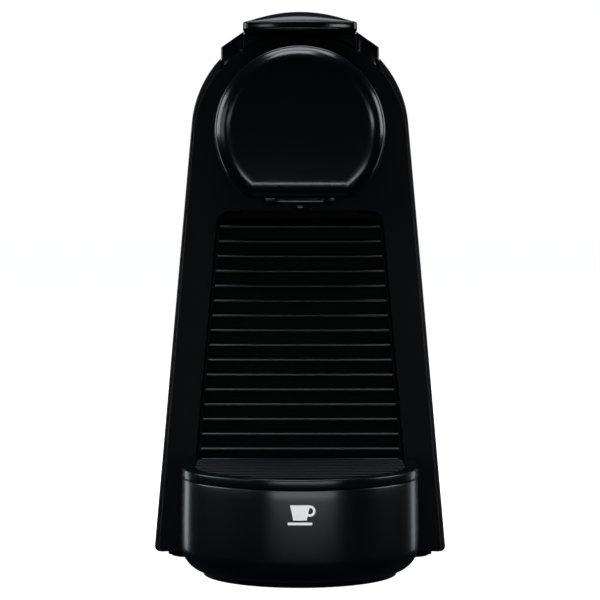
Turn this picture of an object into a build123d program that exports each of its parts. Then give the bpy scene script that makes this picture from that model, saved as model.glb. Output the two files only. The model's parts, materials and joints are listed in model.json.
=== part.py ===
from build123d import *
from math import cos, hypot, radians, sin, tan
import os

os.makedirs("parts", exist_ok=True)

# Frame: millimetres, +Z up, the front faces -Y, the origin is on the bench under the middle.

# Body outline
plate_y = -86.5            # front face of the body
rear_y = 93.0              # rear edge of the side shells
shell_wall = 2.2
shell_bottom = 2.6
side_lean = 5.1            # degrees the sides lean out towards the bench
front_arch = (160.5, 40.8)     # height of the arch's centre and its radius, at the front
rear_arch = (135.0, 43.0)      # the same at the rear
plate_arch = (157.7, 39.9)     # the front plate's own arch
plate_lean = 4.9
plate_thick = 2.5
collar_half, collar_top = 21.3, 197.3     # the plate's square top under the lever
roof_slope = (sum(front_arch) - sum(rear_arch)) / (rear_y - plate_y)

# Window and bay behind it
window_top = 131.1
window_half = 31.4         # half width at window_level
window_level = 125.8
bay_ceiling = 128.4
bay_rear = -14.0
slat_count = 16
slat_pitch = 5.59
slat_thick = 1.2
slat_top = 125.2           # height of the top slat's middle

# Brew head
brew_z = 160.0             # axis of the capsule cage and of the head
head_radius = 32.1
head_front = -116.5
head_flat = 135.6          # height of the flat underside
cap_radius = 30.6
spout_y = -106.0
channel_z = 146.0          # height of the coffee channel

# Lever, cage and their scotch yoke
lever_half = 20.9
lever_front = -108.0
lever_wall = 2.4
lever_top = 205.0
lever_edge = 200.5         # height of the crown's long edges
nose_radius = 60.0         # the lever's front edge, seen from above
pivot_y, pivot_z = -25.0, 172.0
pin_reach = 20.0           # drive pin to pivot
pin_radius = 2.5
axle_radius = 3.0
running = 0.05             # radial clearance of a running fit
stroke = 2 * pin_reach * sin(radians(45))
cage_radius = 18.0
cage_front, cage_rear = -77.0, -44.0
opening_half = 21.2        # half width of the deck's opening
opening_rear = 6.0
arm_xs = (17.5, 20.0)
water_pipe_z = 147.0

# Button shoulders beside the lever
shoulder_out, shoulder_in = 29.7, 21.1
shoulder_low, shoulder_edge, shoulder_high = 185.0, 193.0, 199.0
shoulder_ys = (-84.0, -30.0)
button_xs = (22.8, 28.4)
switch_y, switch_top = -56.0, 182.6     # the switch's height is given at the front of the roof

# Drip tray
tray_radius = 42.9
tray_y = -119.6            # centre of the round nose
tray_back = -87.1
tray_floor = 1.2
tray_top = 35.0
grid_top = 38.5
well_half = 38.0           # the well behind the window
well_rear = -22.0

# Water tank
tank_ys = (95.0, 158.5)
tank_bottom, tank_rim = 12.0, 163.0
tank_arch = (134.0, 42.5)
tank_wall = 2.4
tank_floor = 16.0
hinge_y, hinge_z = 160.0, 164.5
valve_y = 112.0

# Mains cable entry
gland_x, gland_z, gland_radius = -27.0, 7.4, 3.2
gland_bore = 2.1

# Where the inner parts stand
foot_spots = [(-41.0, -76.0), (41.0, -76.0), (-38.0, 146.0), (38.0, 146.0)]
base_screw_spots = [(x, y) for x in (-40.0, 40.0) for y in (-5.0, 84.0)]
pump_x, pump_z = -14.0, 52.0
heater_zs = (112.0, 126.0)
heater_z = sum(heater_zs) / 2
meter_x, meter_y, meter_z = 20.0, 58.0, 24.0
board_x = 37.0


def block(xs, ys, zs):
    """A box between three pairs of limits."""
    size = [b - a for a, b in (xs, ys, zs)]
    middle = [(a + b) / 2 for a, b in (xs, ys, zs)]
    return Pos(*middle) * Box(*size)


def rod_x(xs, y, z, radius):
    return Pos(sum(xs) / 2, y, z) * Rot(0, 90, 0) * Cylinder(radius, xs[1] - xs[0])


def rod_y(ys, x, z, radius):
    return Pos(x, sum(ys) / 2, z) * Rot(90, 0, 0) * Cylinder(radius, ys[1] - ys[0])


def rod_z(zs, x, y, radius):
    return Pos(x, y, sum(zs) / 2) * Cylinder(radius, zs[1] - zs[0])


def across(y):
    """The plane across the machine at depth y, seen from the front."""
    return Plane(origin=(0, y, 0), x_dir=(1, 0, 0), z_dir=(0, -1, 0))


def along(face_at, ys):
    """A profile given at any depth, pushed from the first depth to the second."""
    return extrude(face_at(ys[1]), amount=ys[1] - ys[0])


def mirrored(shape):
    return mirror(shape, about=Plane.YZ)


def arch(y, bottom, centre, radius, lean=side_lean, corner=0):
    """Arch across the machine: a round top and straight sides that lean out to the bottom."""
    turn = radians(lean)
    side = (radius * cos(turn), centre + radius * sin(turn))
    foot = (side[0] + (side[1] - bottom) * tan(turn), bottom)
    outline = Curve() + [
        Line((-foot[0], bottom), foot),
        Line(foot, side),
        ThreePointArc(side, (0, centre + radius), (-side[0], side[1])),
        Line((-side[0], side[1]), (-foot[0], bottom)),
    ]
    face = make_face(outline)
    if corner:
        face = fillet(face.vertices().sort_by(Axis.Y)[:2], corner)
    return across(y) * face


def shell_arch(y, inset, bottom, corner=0):
    """The side shells' outline at depth y, moved inwards by inset."""
    share = (y - plate_y) / (rear_y - plate_y)
    centre = front_arch[0] + share * (rear_arch[0] - front_arch[0])
    radius = front_arch[1] + share * (rear_arch[1] - front_arch[1])
    return arch(y, bottom, centre, radius - inset, corner=corner)


def window(y, grow, bottom, top, corner=5.4):
    """The inverted U of the window and of what passes through it, grown all round by grow."""
    half = [window_half + grow + (window_level - z) * tan(radians(side_lean)) for z in (bottom, top)]
    points = [(-half[0], bottom), (half[0], bottom), (half[1], top), (-half[1], top)]
    face = make_face(Polyline(*points, close=True))
    if corner:
        face = fillet(face.vertices().sort_by(Axis.Y)[-2:], corner)
    return across(y) * face


def roof_drop(y):
    """How far the sloping roof has fallen at depth y."""
    return (y - plate_y) * roof_slope


def roof_prism(points, ys):
    """A section given at the front of the roof, carried back along the roof's slope."""
    ends = []
    for y in ys:
        lowered = [(x, z - roof_drop(y)) for x, z in points]
        ends.append(across(y) * make_face(Polyline(*lowered, close=True)))
    return loft(ends, ruled=True)


def head_outline(y, radius, flat=head_flat, corner=2.0):
    """A circle about the brew axis with a flat underside."""
    keep = Pos(0, brew_z) * Circle(radius)
    keep -= Pos(0, flat - radius) * Rectangle(3 * radius, 2 * radius)
    keep = fillet(keep.vertices(), corner)
    return across(y) * keep


def hose(points, radius, bend):
    """A round hose or pipe along straight runs joined by tangent bends."""
    route = FilletPolyline(*points, radius=bend)
    section = Plane(origin=route @ 0, z_dir=route % 0) * Circle(radius)
    return sweep(section, path=route)


def save(name, shape):
    shape.label = name
    export_step(shape, f"parts/{name}.step")


# Base

def base_plan(inset, zs):
    """The base's plan, wide under the body and narrower under the tank."""
    body = block((-50 + inset, 50 - inset), (-83.6 + inset, 93), zs)
    body = fillet(body.edges().filter_by(Axis.Z).sort_by(Axis.Y)[:2], 3)
    tail = block((-46 + inset, 46 - inset), (60, 158.5 - inset), zs)
    tail = fillet(tail.edges().filter_by(Axis.Z).sort_by(Axis.Y)[-2:], 22 - inset)
    return body + tail


def base_chassis():
    base = base_plan(0, (1.0, 3.0))
    for x, y in base_screw_spots:
        base -= rod_z((0, 4), x, y, 1.4)
    for x, y in foot_spots:
        base -= rod_z((0, 4), x, y, 2.5)
    return base


def base_ribs():
    """The ribs and screw bosses that stand on the base plate."""
    ribs = [block((-44.4, 44.4), (-12.2, -10.8), (3.0, 12.0))]
    for side in (-1, 1):
        ribs.append(block(sorted((side * 48.4, side * 50)), (-78, 90), (3.0, 8.0)))
    for x, y in base_screw_spots:
        ribs.append(rod_z((3.0, 14.0), x, y, 3.2) - rod_z((2, 11.0), x, y, 1.4))
    return Compound(children=ribs)


def rubber_feet():
    """Four round feet with pegs pressed into the base."""
    feet = [rod_z((0, 1.0), x, y, 8.0) + rod_z((1.0, 3.0), x, y, 2.4) for x, y in foot_spots]
    return Compound(children=feet)


def base_screws():
    """Four screws up through the base."""
    screws = [rod_z((1.0, 10.0), x, y, 1.35) + rod_z((0.4, 1.0), x, y, 3.0) for x, y in base_screw_spots]
    return Compound(children=screws)


# Shells and front plate

def whole_shell():
    ends = [shell_arch(y, 0, shell_bottom, 2.0) for y in (plate_y, rear_y)]
    shell = loft(ends, ruled=True)
    hollow_ys = (plate_y + 3.2, rear_y + 1)
    hollow = loft([shell_arch(y, shell_wall, shell_bottom - 4) for y in hollow_ys], ruled=True)
    shell -= hollow
    shell -= extrude(plate_outline(plate_y + 3.3, 0.2), amount=5)
    cut_half = shoulder_out + 0.1
    return shell - block((-cut_half, cut_half), (plate_y - 1, opening_rear + 5), (165, 215))


def side_shell(side):
    """One half of the shell, parted along the ridge."""
    shell = whole_shell()
    xs = sorted((side * 0.1, side * 70))
    return shell & block(xs, (plate_y - 2, rear_y + 2), (-2, 210))


def plate_outline(y, grow):
    return arch(y, shell_bottom - grow * 2, plate_arch[0], plate_arch[1] + grow, plate_lean)


def front_plate():
    plate = extrude(plate_outline(plate_y + plate_thick, 0), amount=plate_thick)
    plate -= along(lambda y: window(y, 0, -5, window_top), (plate_y - 1, plate_y + 4))
    plate += block((-collar_half, collar_half), (plate_y, plate_y + plate_thick), (collar_top - 8, collar_top))
    plate -= block((-lever_half - 0.5, lever_half + 0.5), (plate_y - 1, plate_y + 4), (collar_top, 210))
    plate -= rod_y((plate_y - 1, plate_y + 4), 0, channel_z, 3.7)
    return plate


# Brew head

def head_barrel():
    ys = (-111.2, plate_y)
    barrel = loft([head_outline(ys[0], head_radius - 1.1), head_outline(ys[1], head_radius)], ruled=True)
    inner_flat = head_flat + 2.0
    hollow = [head_outline(ys[0] - 1, head_radius - 3.3, inner_flat, 1.5),
              head_outline(ys[1] - 2, head_radius - 2.4, inner_flat, 1.5)]
    barrel -= loft(hollow, ruled=True)
    barrel -= rod_z((130, 150), 0, spout_y, 3.75)
    barrel -= rod_y((plate_y - 4, plate_y + 1), 0, channel_z, 3.7)
    return barrel


def head_gasket():
    """The dark ring between the barrel and its cap."""
    ring = along(lambda y: head_outline(y, cap_radius - 0.8, head_flat + 0.7, 1.5), (-111.8, -111.2))
    return ring - along(lambda y: head_outline(y, 27.0, head_flat + 4, 1.5), (-112, -111))


def head_cap():
    cap = along(lambda y: head_outline(y, cap_radius, head_flat, 2.6), (head_front, -111.8))
    rim = cap.faces().sort_by(Axis.Y)[0].edges()
    cap = fillet(rim, 3.4)
    return cap - along(lambda y: head_outline(y, 27.2, head_flat + 3.4, 1.5), (-114.2, -111))


def outlet_guard():
    """The rounded collar under the head that the spout looks out of."""
    guard = block((-13.5, 13.5), (-113.6, -98.4), (132.9, head_flat))
    guard = fillet(guard.edges().filter_by(Axis.Z), 7.0)
    guard = fillet(guard.faces().sort_by(Axis.Z)[0].edges(), 1.6)
    return guard - rod_z((130, 140), 0, spout_y, 3.75)


def spout():
    tube = rod_z((131.1, 152.0), 0, spout_y, 3.65)
    tube -= rod_z((130, 149.0), 0, spout_y, 2.0)
    tube -= rod_y((spout_y, spout_y + 5), 0, channel_z, 2.0)
    return tube - rod_y((spout_y + 3.0, spout_y + 5), 0, channel_z, 3.55)


def coffee_channel():
    """The pipe that carries coffee forward from the brew chamber to the spout."""
    ys = (spout_y + 3.05, -84.0)
    return rod_y(ys, 0, channel_z, 3.5) - rod_y((ys[0] - 1, ys[1] + 1), 0, channel_z, 2.0)


def extraction_housing():
    """The fixed front half of the brew chamber: a shallow dish that drains into the channel."""
    dish = rod_y((-84.0, -78.6), 0, brew_z, 20.0)
    dish -= rod_y((-82.0, -78), 0, brew_z, 17.2)
    dish -= rod_y((-85, -81), 0, channel_z, 2.0)
    for side in (-1, 1):
        dish += block(sorted((side * 19, side * 21.3)), (-84.0, -80.0), (150, 170))
    return dish


def extraction_plate():
    """The pierced plate with square studs that opens the capsule's foil."""
    plate = rod_y((-80.4, -79.0), 0, brew_z, 17.0)
    for row in range(-3, 4):
        for column in range(-3, 4):
            x, z = column * 3.9, brew_z + row * 3.9
            if hypot(x, z - brew_z) > 14.5:
                continue
            plate += block((x - 1.1, x + 1.1), (-79.0, -77.9), (z - 1.1, z + 1.1))
            if row % 2:
                plate -= rod_y((-81, -77), x + 1.95, z + 1.95, 0.45)
    return plate


# Lever

def crown_stations():
    """Depth, edge height and ridge height along the lever's top."""
    fall = roof_drop(pivot_y) - roof_drop(-80.0)
    return [
        (lever_front, lever_edge - 0.3, lever_edge - 0.1),
        (lever_front + 3.5, lever_edge - 0.2, lever_top - 2.1),
        (-95.0, lever_edge, lever_top),
        (-80.0, lever_edge, lever_top),
        (pivot_y, lever_edge - fall, lever_top - fall),
    ]


def crown_face(station, half, lowered, depth):
    """The lever's arched section, narrowed to half and sunk by lowered."""
    y, edge, ridge = station
    sag = ridge - edge
    bend = (lever_half ** 2 + sag ** 2) / (2 * sag)
    side_z = ridge - lowered - (bend - (bend ** 2 - half ** 2) ** 0.5)
    outline = Curve() + [
        Line((-half, edge - depth), (half, edge - depth)),
        Line((half, edge - depth), (half, side_z)),
        ThreePointArc((half, side_z), (0, ridge - lowered), (-half, side_z)),
        Line((-half, side_z), (-half, edge - depth)),
    ]
    return across(y) * make_face(outline)


def crown_solid(half, lowered, depth):
    faces = [crown_face(station, half, lowered, depth) for station in crown_stations()]
    solid = loft(faces[:2], ruled=True)
    for pair in zip(faces[1:], faces[2:]):
        solid += loft(pair, ruled=True)
    return solid


def lever_tail():
    """The rounded rear end, the crown's section turned about the pivot."""
    station = crown_stations()[-1]
    band = crown_face(station, lever_half, 0, 12) - crown_face(station, lever_half + 0.5, lever_wall, 13)
    return revolve(band, axis=Axis((0, pivot_y, pivot_z), (-1, 0, 0)), revolution_arc=45)


def nose_waste(reach):
    """What lies ahead of the lever's front edge, or of a skin that far in front of it."""
    waste = block((-30, 30), (lever_front - 10, lever_front + 9), (190, 210))
    return waste - rod_z((190, 210), 0, lever_front + nose_radius, nose_radius + reach)


def lever():
    arm = [(-64, 197), (-52, 187), (-32, 168), (-18.4, 169),
           (-17.6, 181.8), (-10.5, 188.5), (-17, 190.8), (-25, 192)]
    body = crown_solid(lever_half, 0, 3.0)
    room = crown_solid(lever_half - 3.4, lever_wall, 12.0)
    body -= room & block((-30, 30), (lever_front + 6, pivot_y + 1), (150, 210))
    body += lever_tail()
    body -= block((-30, 30), (plate_y - 0.8, plate_y + plate_thick + 0.8), (150, 198.0))
    body -= nose_waste(0)
    pin_y, pin_z = pivot_y - stroke / 2, pivot_z + stroke / 2
    for side in (-1, 1):
        xs = sorted(side * x for x in arm_xs)
        flat = Plane(origin=(xs[0], 0, 0), x_dir=(0, 1, 0), z_dir=(1, 0, 0))
        body += extrude(flat * make_face(Polyline(*arm, close=True)), amount=xs[1] - xs[0])
        body += rod_x(xs, pivot_y, pivot_z, 7.0)
        body -= rod_x(xs, pivot_y, pivot_z, axle_radius + running)
        body -= rod_x(xs, pin_y, pin_z, pin_radius)
    return body


def lever_lip():
    """The glossy grip strip along the lever's front edge."""
    strip = block((-lever_half + 0.4, lever_half - 0.4), (lever_front - 0.7, lever_front + 8), (197.3, 200.1))
    return (strip - nose_waste(0.7)) & nose_waste(0)


def both_sides(shape):
    """A right-hand piece and its mirror image, as two solids of one node."""
    return Compound(children=[shape, mirrored(shape)])


def drive_pins():
    """The pins on the lever's arms that work in the cage's forks."""
    return both_sides(rod_x((13.2, arm_xs[1]), pivot_y - stroke / 2, pivot_z + stroke / 2, pin_radius))


def lever_axles():
    return both_sides(rod_x((17.2, 23.4), pivot_y, pivot_z, axle_radius))


# Capsule cage and its frame

def capsule_cage():
    cage = rod_y((cage_front, cage_rear), 0, brew_z, cage_radius)
    cage -= rod_y((cage_front - 1, cage_front + 2), 0, brew_z, 16.6)
    cage -= rod_y((cage_front - 1, cage_rear - 4.0), 0, brew_z, 14.6)
    cage -= rod_y((cage_rear - 5, cage_rear + 1), 0, water_pipe_z, 2.0)
    for side in (-1, 1):
        cage += block(sorted((side * 17.4, side * 20.8)), (-75, -46), (158, 162))
    return cage


def cage_forks():
    """The uprights whose slots the drive pins work in, on arms from the cage's flanks."""
    pin_y = pivot_y - stroke / 2
    xs = (13.5, 16.5)
    slot_half = pin_radius + 0.95
    fork = block(xs, (pin_y - slot_half - 1.7, pin_y + slot_half + 1.7), (164, 193.4))
    fork += block(xs, (-62, pin_y), (164, 178))
    fork -= block((10, 20), (pin_y - slot_half, pin_y + slot_half), (182.4, 200))
    return both_sides(fork - rod_y((cage_front - 1, cage_rear), 0, brew_z, cage_radius))


def cage_needles():
    """Three piercing blades inside the back of the cage."""
    blades = []
    for turn in (90, 210, 330):
        x, z = 6.5 * cos(radians(turn)), brew_z + 6.5 * sin(radians(turn))
        blades.append(Pos(x, cage_rear - 6.5, z) * Rot(90, 0, 0) * Cone(1.2, 0.3, 5.0))
    return Compound(children=blades)


def water_pipe():
    """The steel pipe that travels with the cage and slides in the fixed sleeve."""
    pipe = rod_y((cage_rear - 4.0, -8.0), 0, water_pipe_z, 2.0)
    return pipe - rod_y((cage_rear - 5, -7), 0, water_pipe_z, 1.1)


def water_sleeve():
    sleeve = rod_y((-13.0, 26.0), 0, water_pipe_z, 4.0) + rod_y((10.1, 14.0), 0, water_pipe_z, 7.0)
    sleeve -= rod_y((-14.0, 22.5), 0, water_pipe_z, 2.0 + running)
    return sleeve - rod_y((20, 27), 0, water_pipe_z, 1.1)


def brew_frame():
    """Two side walls that carry the axles and guide the cage, with a floor behind the chute."""
    frame = block((-23.4, 23.4), (-47.0, 8.0), (133.0, 135.0))
    for side in (-1, 1):
        wall = block(sorted((side * 21.4, side * 23.4)), (-84.0, 8.0), (133.0, 170.0))
        wall += rod_x(sorted((side * 21.4, side * 23.4)), pivot_y, pivot_z, 4.6)
        wall += block(sorted((side * 18.4, side * 21.4)), (-77.6, -14), (154.4, 157.6))
        wall += block(sorted((side * 18.4, side * 21.4)), (-77.6, -44), (162.4, 164.6))
        wall -= rod_x(sorted((side * 21, side * 24)), pivot_y, pivot_z, axle_radius)
        frame += wall
    frame += block((-23.4, 23.4), (8.0, 10.0), (133.0, 169.0))
    return frame - rod_y((7, 11), 0, water_pipe_z, 4.1)


def capsule_chute():
    """The throat under the brew chamber that drops a used capsule into the bin."""
    throat = block((-21.3, 21.3), (-83.8, -47.2), (130.2, 133.0))
    throat += block((-21.3, 21.3), (-83.8, -80.8), (133.0, 139.0))
    return throat - block((-19.6, 19.6), (-80.8, -49.0), (128, 134))


# Deck and buttons

def roof_points(half, low, high):
    return [(-half, low), (half, low), (half, high), (-half, high)]


def top_deck():
    """The sunken deck round the lever's opening, closed by a low wall behind it."""
    half = shoulder_out - 0.3
    deck_rear = opening_rear + 4.8
    deck = roof_prism(roof_points(half, shoulder_low - 2, shoulder_low), (-83.8, deck_rear))
    deck -= block((-opening_half, opening_half), (-86, opening_rear), (150, 210))
    deck -= rod_x((-23.9, 23.9), pivot_y, pivot_z, 7.6)
    for side in (-1, 1):
        deck -= block(sorted((side * 23.0, side * 28.2)), (-71, -41), (150, 210))
    wall = roof_prism(roof_points(half, shoulder_low, 200.2), (deck_rear - 2.2, deck_rear))
    return deck + (wall & along(lambda y: shell_arch(y, 0.1, 100), (deck_rear - 3, deck_rear + 1)))


def slope_z(x):
    """Height of a shoulder's sloping top, at the front of the roof."""
    share = (x - shoulder_in) / (shoulder_out - shoulder_in)
    return shoulder_high + share * (shoulder_edge - shoulder_high)


def sloped_bar(xs, depth, lift, ys):
    """A bar whose top follows a shoulder's slope, raised by lift."""
    near, far = xs
    points = [(near, slope_z(far) - depth), (far, slope_z(far) - depth),
              (far, slope_z(far) + lift), (near, slope_z(near) + lift)]
    return roof_prism(points, ys)


def shoulder_tail():
    """The rear of a shoulder, sinking into the line of the side shells."""
    faces = []
    ys = (shoulder_ys[1], opening_rear + 2.4)
    shell_z = [front_arch[0] + (front_arch[1] ** 2 - x ** 2) ** 0.5 for x in (shoulder_in, shoulder_out)]
    for y, top_in, top_out in ((ys[0], shoulder_high, shoulder_edge), (ys[1], *shell_z)):
        points = [(shoulder_in, shoulder_low), (shoulder_out, shoulder_low),
                  (shoulder_out, top_out), (shoulder_in, top_in)]
        lowered = [(x, z - roof_drop(y)) for x, z in points]
        faces.append(across(y) * make_face(Polyline(*lowered, close=True)))
    return loft(faces, ruled=True)


def button_shoulders():
    """The raised housings on both sides of the lever that the buttons sit in."""
    floor = shoulder_edge - shoulder_low
    shoulder = sloped_bar((shoulder_in, shoulder_out), floor, 0, shoulder_ys) + shoulder_tail()
    inside_ys = (shoulder_ys[0] + 1.6, shoulder_ys[1] - 1.6)
    shoulder -= sloped_bar((shoulder_in + 1.3, shoulder_out - 1.3), floor + 3, -1.8, inside_ys)
    shoulder -= sloped_bar((button_xs[0] - 0.2, button_xs[1] + 0.2), floor + 3, 9, (-70.3, -41.7))
    web = block((20.3, shoulder_in), (shoulder_ys[0], -76.0), (shoulder_low, lever_edge - 4.4))
    return both_sides(shoulder + web)


def brew_button():
    """The right-hand button: a long cap in its shoulder's slope and a stem towards the switch."""
    cap = sloped_bar(button_xs, 2.2, 0.35, (-70, -42))
    foot_z = switch_top - roof_drop(switch_y) + 1.8
    return cap + block((24.6, 26.6), (switch_y - 1.5, switch_y + 1.5), (foot_z, 188.5))


def switch_board():
    """The small board under the right shoulder with its switch."""
    points = [(23.9, 180.2), (28.6, 180.2), (28.6, 181.6), (23.9, 181.6)]
    board = roof_prism(points, (-78, -34))
    top = switch_top - roof_drop(switch_y)
    return board + block((24.2, 27.0), (switch_y - 2, switch_y + 2), (top - 2.0, top))


# Bay, tray and bin

def bay_liner():
    """The lining of the bay that the tray unit slides into."""
    outer = along(lambda y: window(y, 2.2, 3.2, bay_ceiling + 1.6), (-83.8, bay_rear + 1.6))
    inner = along(lambda y: window(y, 0.7, 0, bay_ceiling), (-85, bay_rear))
    liner = outer - inner
    return liner - block((-19.6, 19.6), (-80.8, -49.0), (126, 134))


def tray_plan(inset, zs, nose_only=False):
    """The tray's plan: a round nose, straight flanks, and the narrower well behind the window."""
    nose = rod_z(zs, 0, tray_y, tray_radius - inset) & block((-60, 60), (-170, tray_y), zs)
    nose += block((-tray_radius + inset, tray_radius - inset), (tray_y, tray_back - inset), zs)
    if nose_only:
        return nose
    return nose + block((-well_half + inset, well_half - inset), (tray_back - 4, well_rear - inset), zs)


def drip_tray():
    nose = tray_plan(0, (tray_floor, tray_top), True)
    nose = fillet(nose.faces().sort_by(Axis.Z)[0].edges(), 9.4)
    tray = nose + block((-well_half, well_half), (tray_back - 12, well_rear), (3.4, tray_top))
    hollow = tray_plan(9.4, (tray_floor + 2.2, 60), True) + tray_plan(2.2, (12.0, 60))
    hollow += block((-well_half + 2.2, well_half - 2.2), (-84.0, well_rear - 2.2), (5.6, 60))
    tray -= hollow
    tray += block((-36.4, 36.4), (-85.6, -82.0), (24.0, tray_top))
    return tray - tray_badge()


def tray_pedestal():
    """The round foot under the tray's nose."""
    return rod_z((0, tray_floor), 0, tray_y, 34.9)


def tray_badge():
    """A plain cup pictogram let into the tray's nose."""
    middle = 26.8
    cup = make_face(Polyline((-3.4, 3.0), (3.4, 3.0), (2.3, -2.2), (-2.3, -2.2), close=True))
    cup += Pos(3.4, 1.0) * Circle(1.9) - Pos(3.4, 1.0) * Circle(1.1)
    cup += Pos(0, -3.4) * Rectangle(8.4, 0.9)
    raised = extrude(Plane(origin=(0, -150, middle), x_dir=(1, 0, 0), z_dir=(0, -1, 0)) * cup, amount=20)
    skin = rod_z((20, 34), 0, tray_y, tray_radius) - rod_z((20, 34), 0, tray_y, tray_radius - 0.5)
    return raised & skin


def drip_grid():
    """The slotted cup stand on top of the tray."""
    grid = tray_plan(0, (tray_top, grid_top), True)
    lip = tray_plan(2.6, (tray_top - 3, tray_top), True) - tray_plan(4.0, (tray_top - 4, tray_top), True)
    edge = grid.faces().sort_by(Axis.Z)[-1].edges()
    grid = fillet(edge, 0.8) + lip
    room = tray_plan(5.2, (tray_top - 1, grid_top + 1), True)
    for index in range(13):
        y = -154.5 + 5.0 * index
        slot = block((-60, 60), (y - 1.3, y + 1.3), (tray_top - 1, grid_top + 1))
        grid -= slot & room
    return grid


def slat_panel():
    """The louvred panel that closes the window and comes out with the tray."""
    top, bottom = slat_top + slat_thick / 2, tray_top
    panel = along(lambda y: window(y, -0.5, bottom, top, 1.5), (-83.2, -81.4))
    frame = along(lambda y: window(y, -0.5, bottom, top, 1.5), (-86.2, -83.2))
    panel += frame - along(lambda y: window(y, -1.5, bottom - 1, top + 4, 1.5), (-87, -83))
    for index in range(slat_count):
        z = slat_top - index * slat_pitch
        half = window_half - 0.9 + (window_level - z) * tan(radians(side_lean))
        panel += block((-half, half), (-86.0, -83.2), (z - slat_thick / 2, z + slat_thick / 2))
    return panel


def capsule_bin():
    """The bin for used capsules, standing in the tray's well."""
    ys = (-80.6, -25.0)
    outer = along(lambda y: window(y, -2.8, 6.2, 95.0, 0), ys)
    outer &= block((-35.2, 35.2), (-100, 0), (0, 100))
    inner = along(lambda y: window(y, -4.8, 8.2, 97.0, 0), (ys[0] + 2, ys[1] - 2))
    return outer - (inner & block((-33.2, 33.2), (-100, 0), (0, 100)))


# Water system

def tank_plan(inset, ys, zs):
    plan = block((-54.6 + inset, 54.6 - inset), (ys[0] + inset, ys[1] - inset), zs)
    return fillet(plan.edges().filter_by(Axis.Z).sort_by(Axis.Y)[-2:], 24 - inset)


def tank_solid(inset, zs):
    ys = (tank_ys[0] + inset, tank_ys[1] - inset)
    profile = along(lambda y: arch(y, 0, tank_arch[0], tank_arch[1] - inset), ys)
    return profile & tank_plan(inset, tank_ys, zs)


def water_tank():
    tank = tank_solid(0, (tank_bottom, tank_rim))
    tank -= tank_solid(tank_wall, (tank_floor + 2.5, tank_rim + 5))
    tank -= tank_solid(tank_wall, (tank_bottom - 5, tank_floor))
    for side in (-1, 1):
        xs = sorted((side * 16.3, side * 20.0))
        lug = rod_x(xs, hinge_y, hinge_z, 2.5)
        lug += block(xs, (tank_ys[1] - 1.6, hinge_y + 1.5), (155, hinge_z - 0.5))
        lug -= block(xs, (0, tank_ys[1]), (162.8, 180))
        tank += lug - rod_x(xs, hinge_y, hinge_z, 1.0)
    tank += rod_z((tank_floor - 2.5, tank_floor), 0, valve_y, 9.0)
    tank -= rod_z((tank_floor - 4, tank_floor + 4), 0, valve_y, 5.0)
    return tank - rod_x((-16.3, 16.3), hinge_y, hinge_z, 3.0)


def tank_lid():
    lid = tank_solid(0, (tank_rim + 0.4, 190)) - tank_solid(2.0, (tank_rim - 1, 190))
    lid += rod_x((-16.0, 16.0), hinge_y, hinge_z, 2.5)
    lid += block((-16, 16), (tank_ys[1] - 2.0, hinge_y), (hinge_z, hinge_z + 2.3))
    for side in (-1, 1):
        lid -= block(sorted((side * 16, side * 20.4)), (tank_ys[1] - 1.4, 165), (160, 168))
    return lid - rod_x((-17, 17), hinge_y, hinge_z, 1.0 + running)


def lid_pin():
    return rod_x((-20.0, 20.0), hinge_y, hinge_z, 1.0)


def tank_valve():
    """The poppet in the tank's floor, held up by the dock while the tank is in place."""
    valve = rod_z((20.2, 22.2), 0, valve_y, 7.0)
    valve += rod_z((12.9, 20.2), 0, valve_y, 2.0)
    return valve + rod_z((22.2, 26.0), 0, valve_y, 2.2)


def valve_guide():
    """The arch over the valve that its spring pushes against."""
    guide = rod_z((36.0, 38.0), 0, valve_y, 8.0)
    for side in (-1, 1):
        leg_zs = (tank_floor + 2.5, 38.0)
        guide += block(sorted((side * 8.0, side * 10.0)), (valve_y - 3, valve_y + 3), leg_zs)
        guide += block(sorted((side * 6.0, side * 9.0)), (valve_y - 3, valve_y + 3), (36.0, 38.0))
    return guide


def valve_spring():
    route = Pos(0, valve_y, 23.0) * Helix(pitch=2.5, height=12.4, radius=4.2)
    section = Plane(origin=route @ 0, z_dir=route % 0) * Circle(0.4)
    return sweep(section, path=route, is_frenet=True)


def tank_dock():
    """The rear shelf that the tank stands on, with its socket and the cable chamber."""
    top = tank_bottom - 0.2
    dock = base_plan(1.0, (3.0, top)) & block((-60, 60), (93.4, 165), (0, 20))
    for xs in ((-40, -14), (14, 40)):
        dock -= block(xs, (98, 146), (3.0, 9.6))
    dock += rod_z((top, top + 0.8), 0, valve_y, 4.4)
    dock -= rod_z((9.0, 20), 0, valve_y, 3.4)
    dock += rod_z((9.0, 12.6), 0, valve_y, 1.2)
    dock -= rod_y((80, valve_y), 0, 7.0, 2.5)
    dock -= rod_z((7.0, 9.2), 2.3, valve_y, 0.9)
    for x, y in foot_spots:
        dock -= rod_z((2, 4.2), x, y, 2.6)
    return dock - rod_y((140, 170), gland_x, gland_z, gland_radius)


def cord_gland():
    """The ribbed rubber sleeve where the mains cable enters."""
    gland = rod_y((146.0, 162.3), gland_x, gland_z, gland_radius)
    for y in (159.0, 160.4, 161.8):
        gland += rod_y((y - 0.4, y + 0.4), gland_x, gland_z, 4.0)
    return gland - rod_y((140, 170), gland_x, gland_z, gland_bore)


def rear_bulkhead():
    wall = along(lambda y: shell_arch(rear_y, shell_wall + 0.2, 3.2), (rear_y - 2.2, rear_y))
    return wall - rod_y((80, 100), 0, 7.0, 3.0)


# Pump, heater and electronics

def pump_body():
    """The solenoid pump: a square coil on a round core, with an inlet and an outlet spigot."""
    pump = block((pump_x - 18, pump_x + 18), (22, 58), (pump_z - 18, pump_z + 18))
    pump = fillet(pump.edges().filter_by(Axis.Y), 3)
    pump += rod_y((8, 74), pump_x, pump_z, 11.0)
    pump += rod_y((2, 8), pump_x, pump_z, 3.0) + rod_y((74, 82), pump_x, pump_z, 3.0)
    pump -= rod_y((10, 72), pump_x, pump_z, 6.0 + running)
    return pump - rod_y((0, 90), pump_x, pump_z, 1.5)


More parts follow.
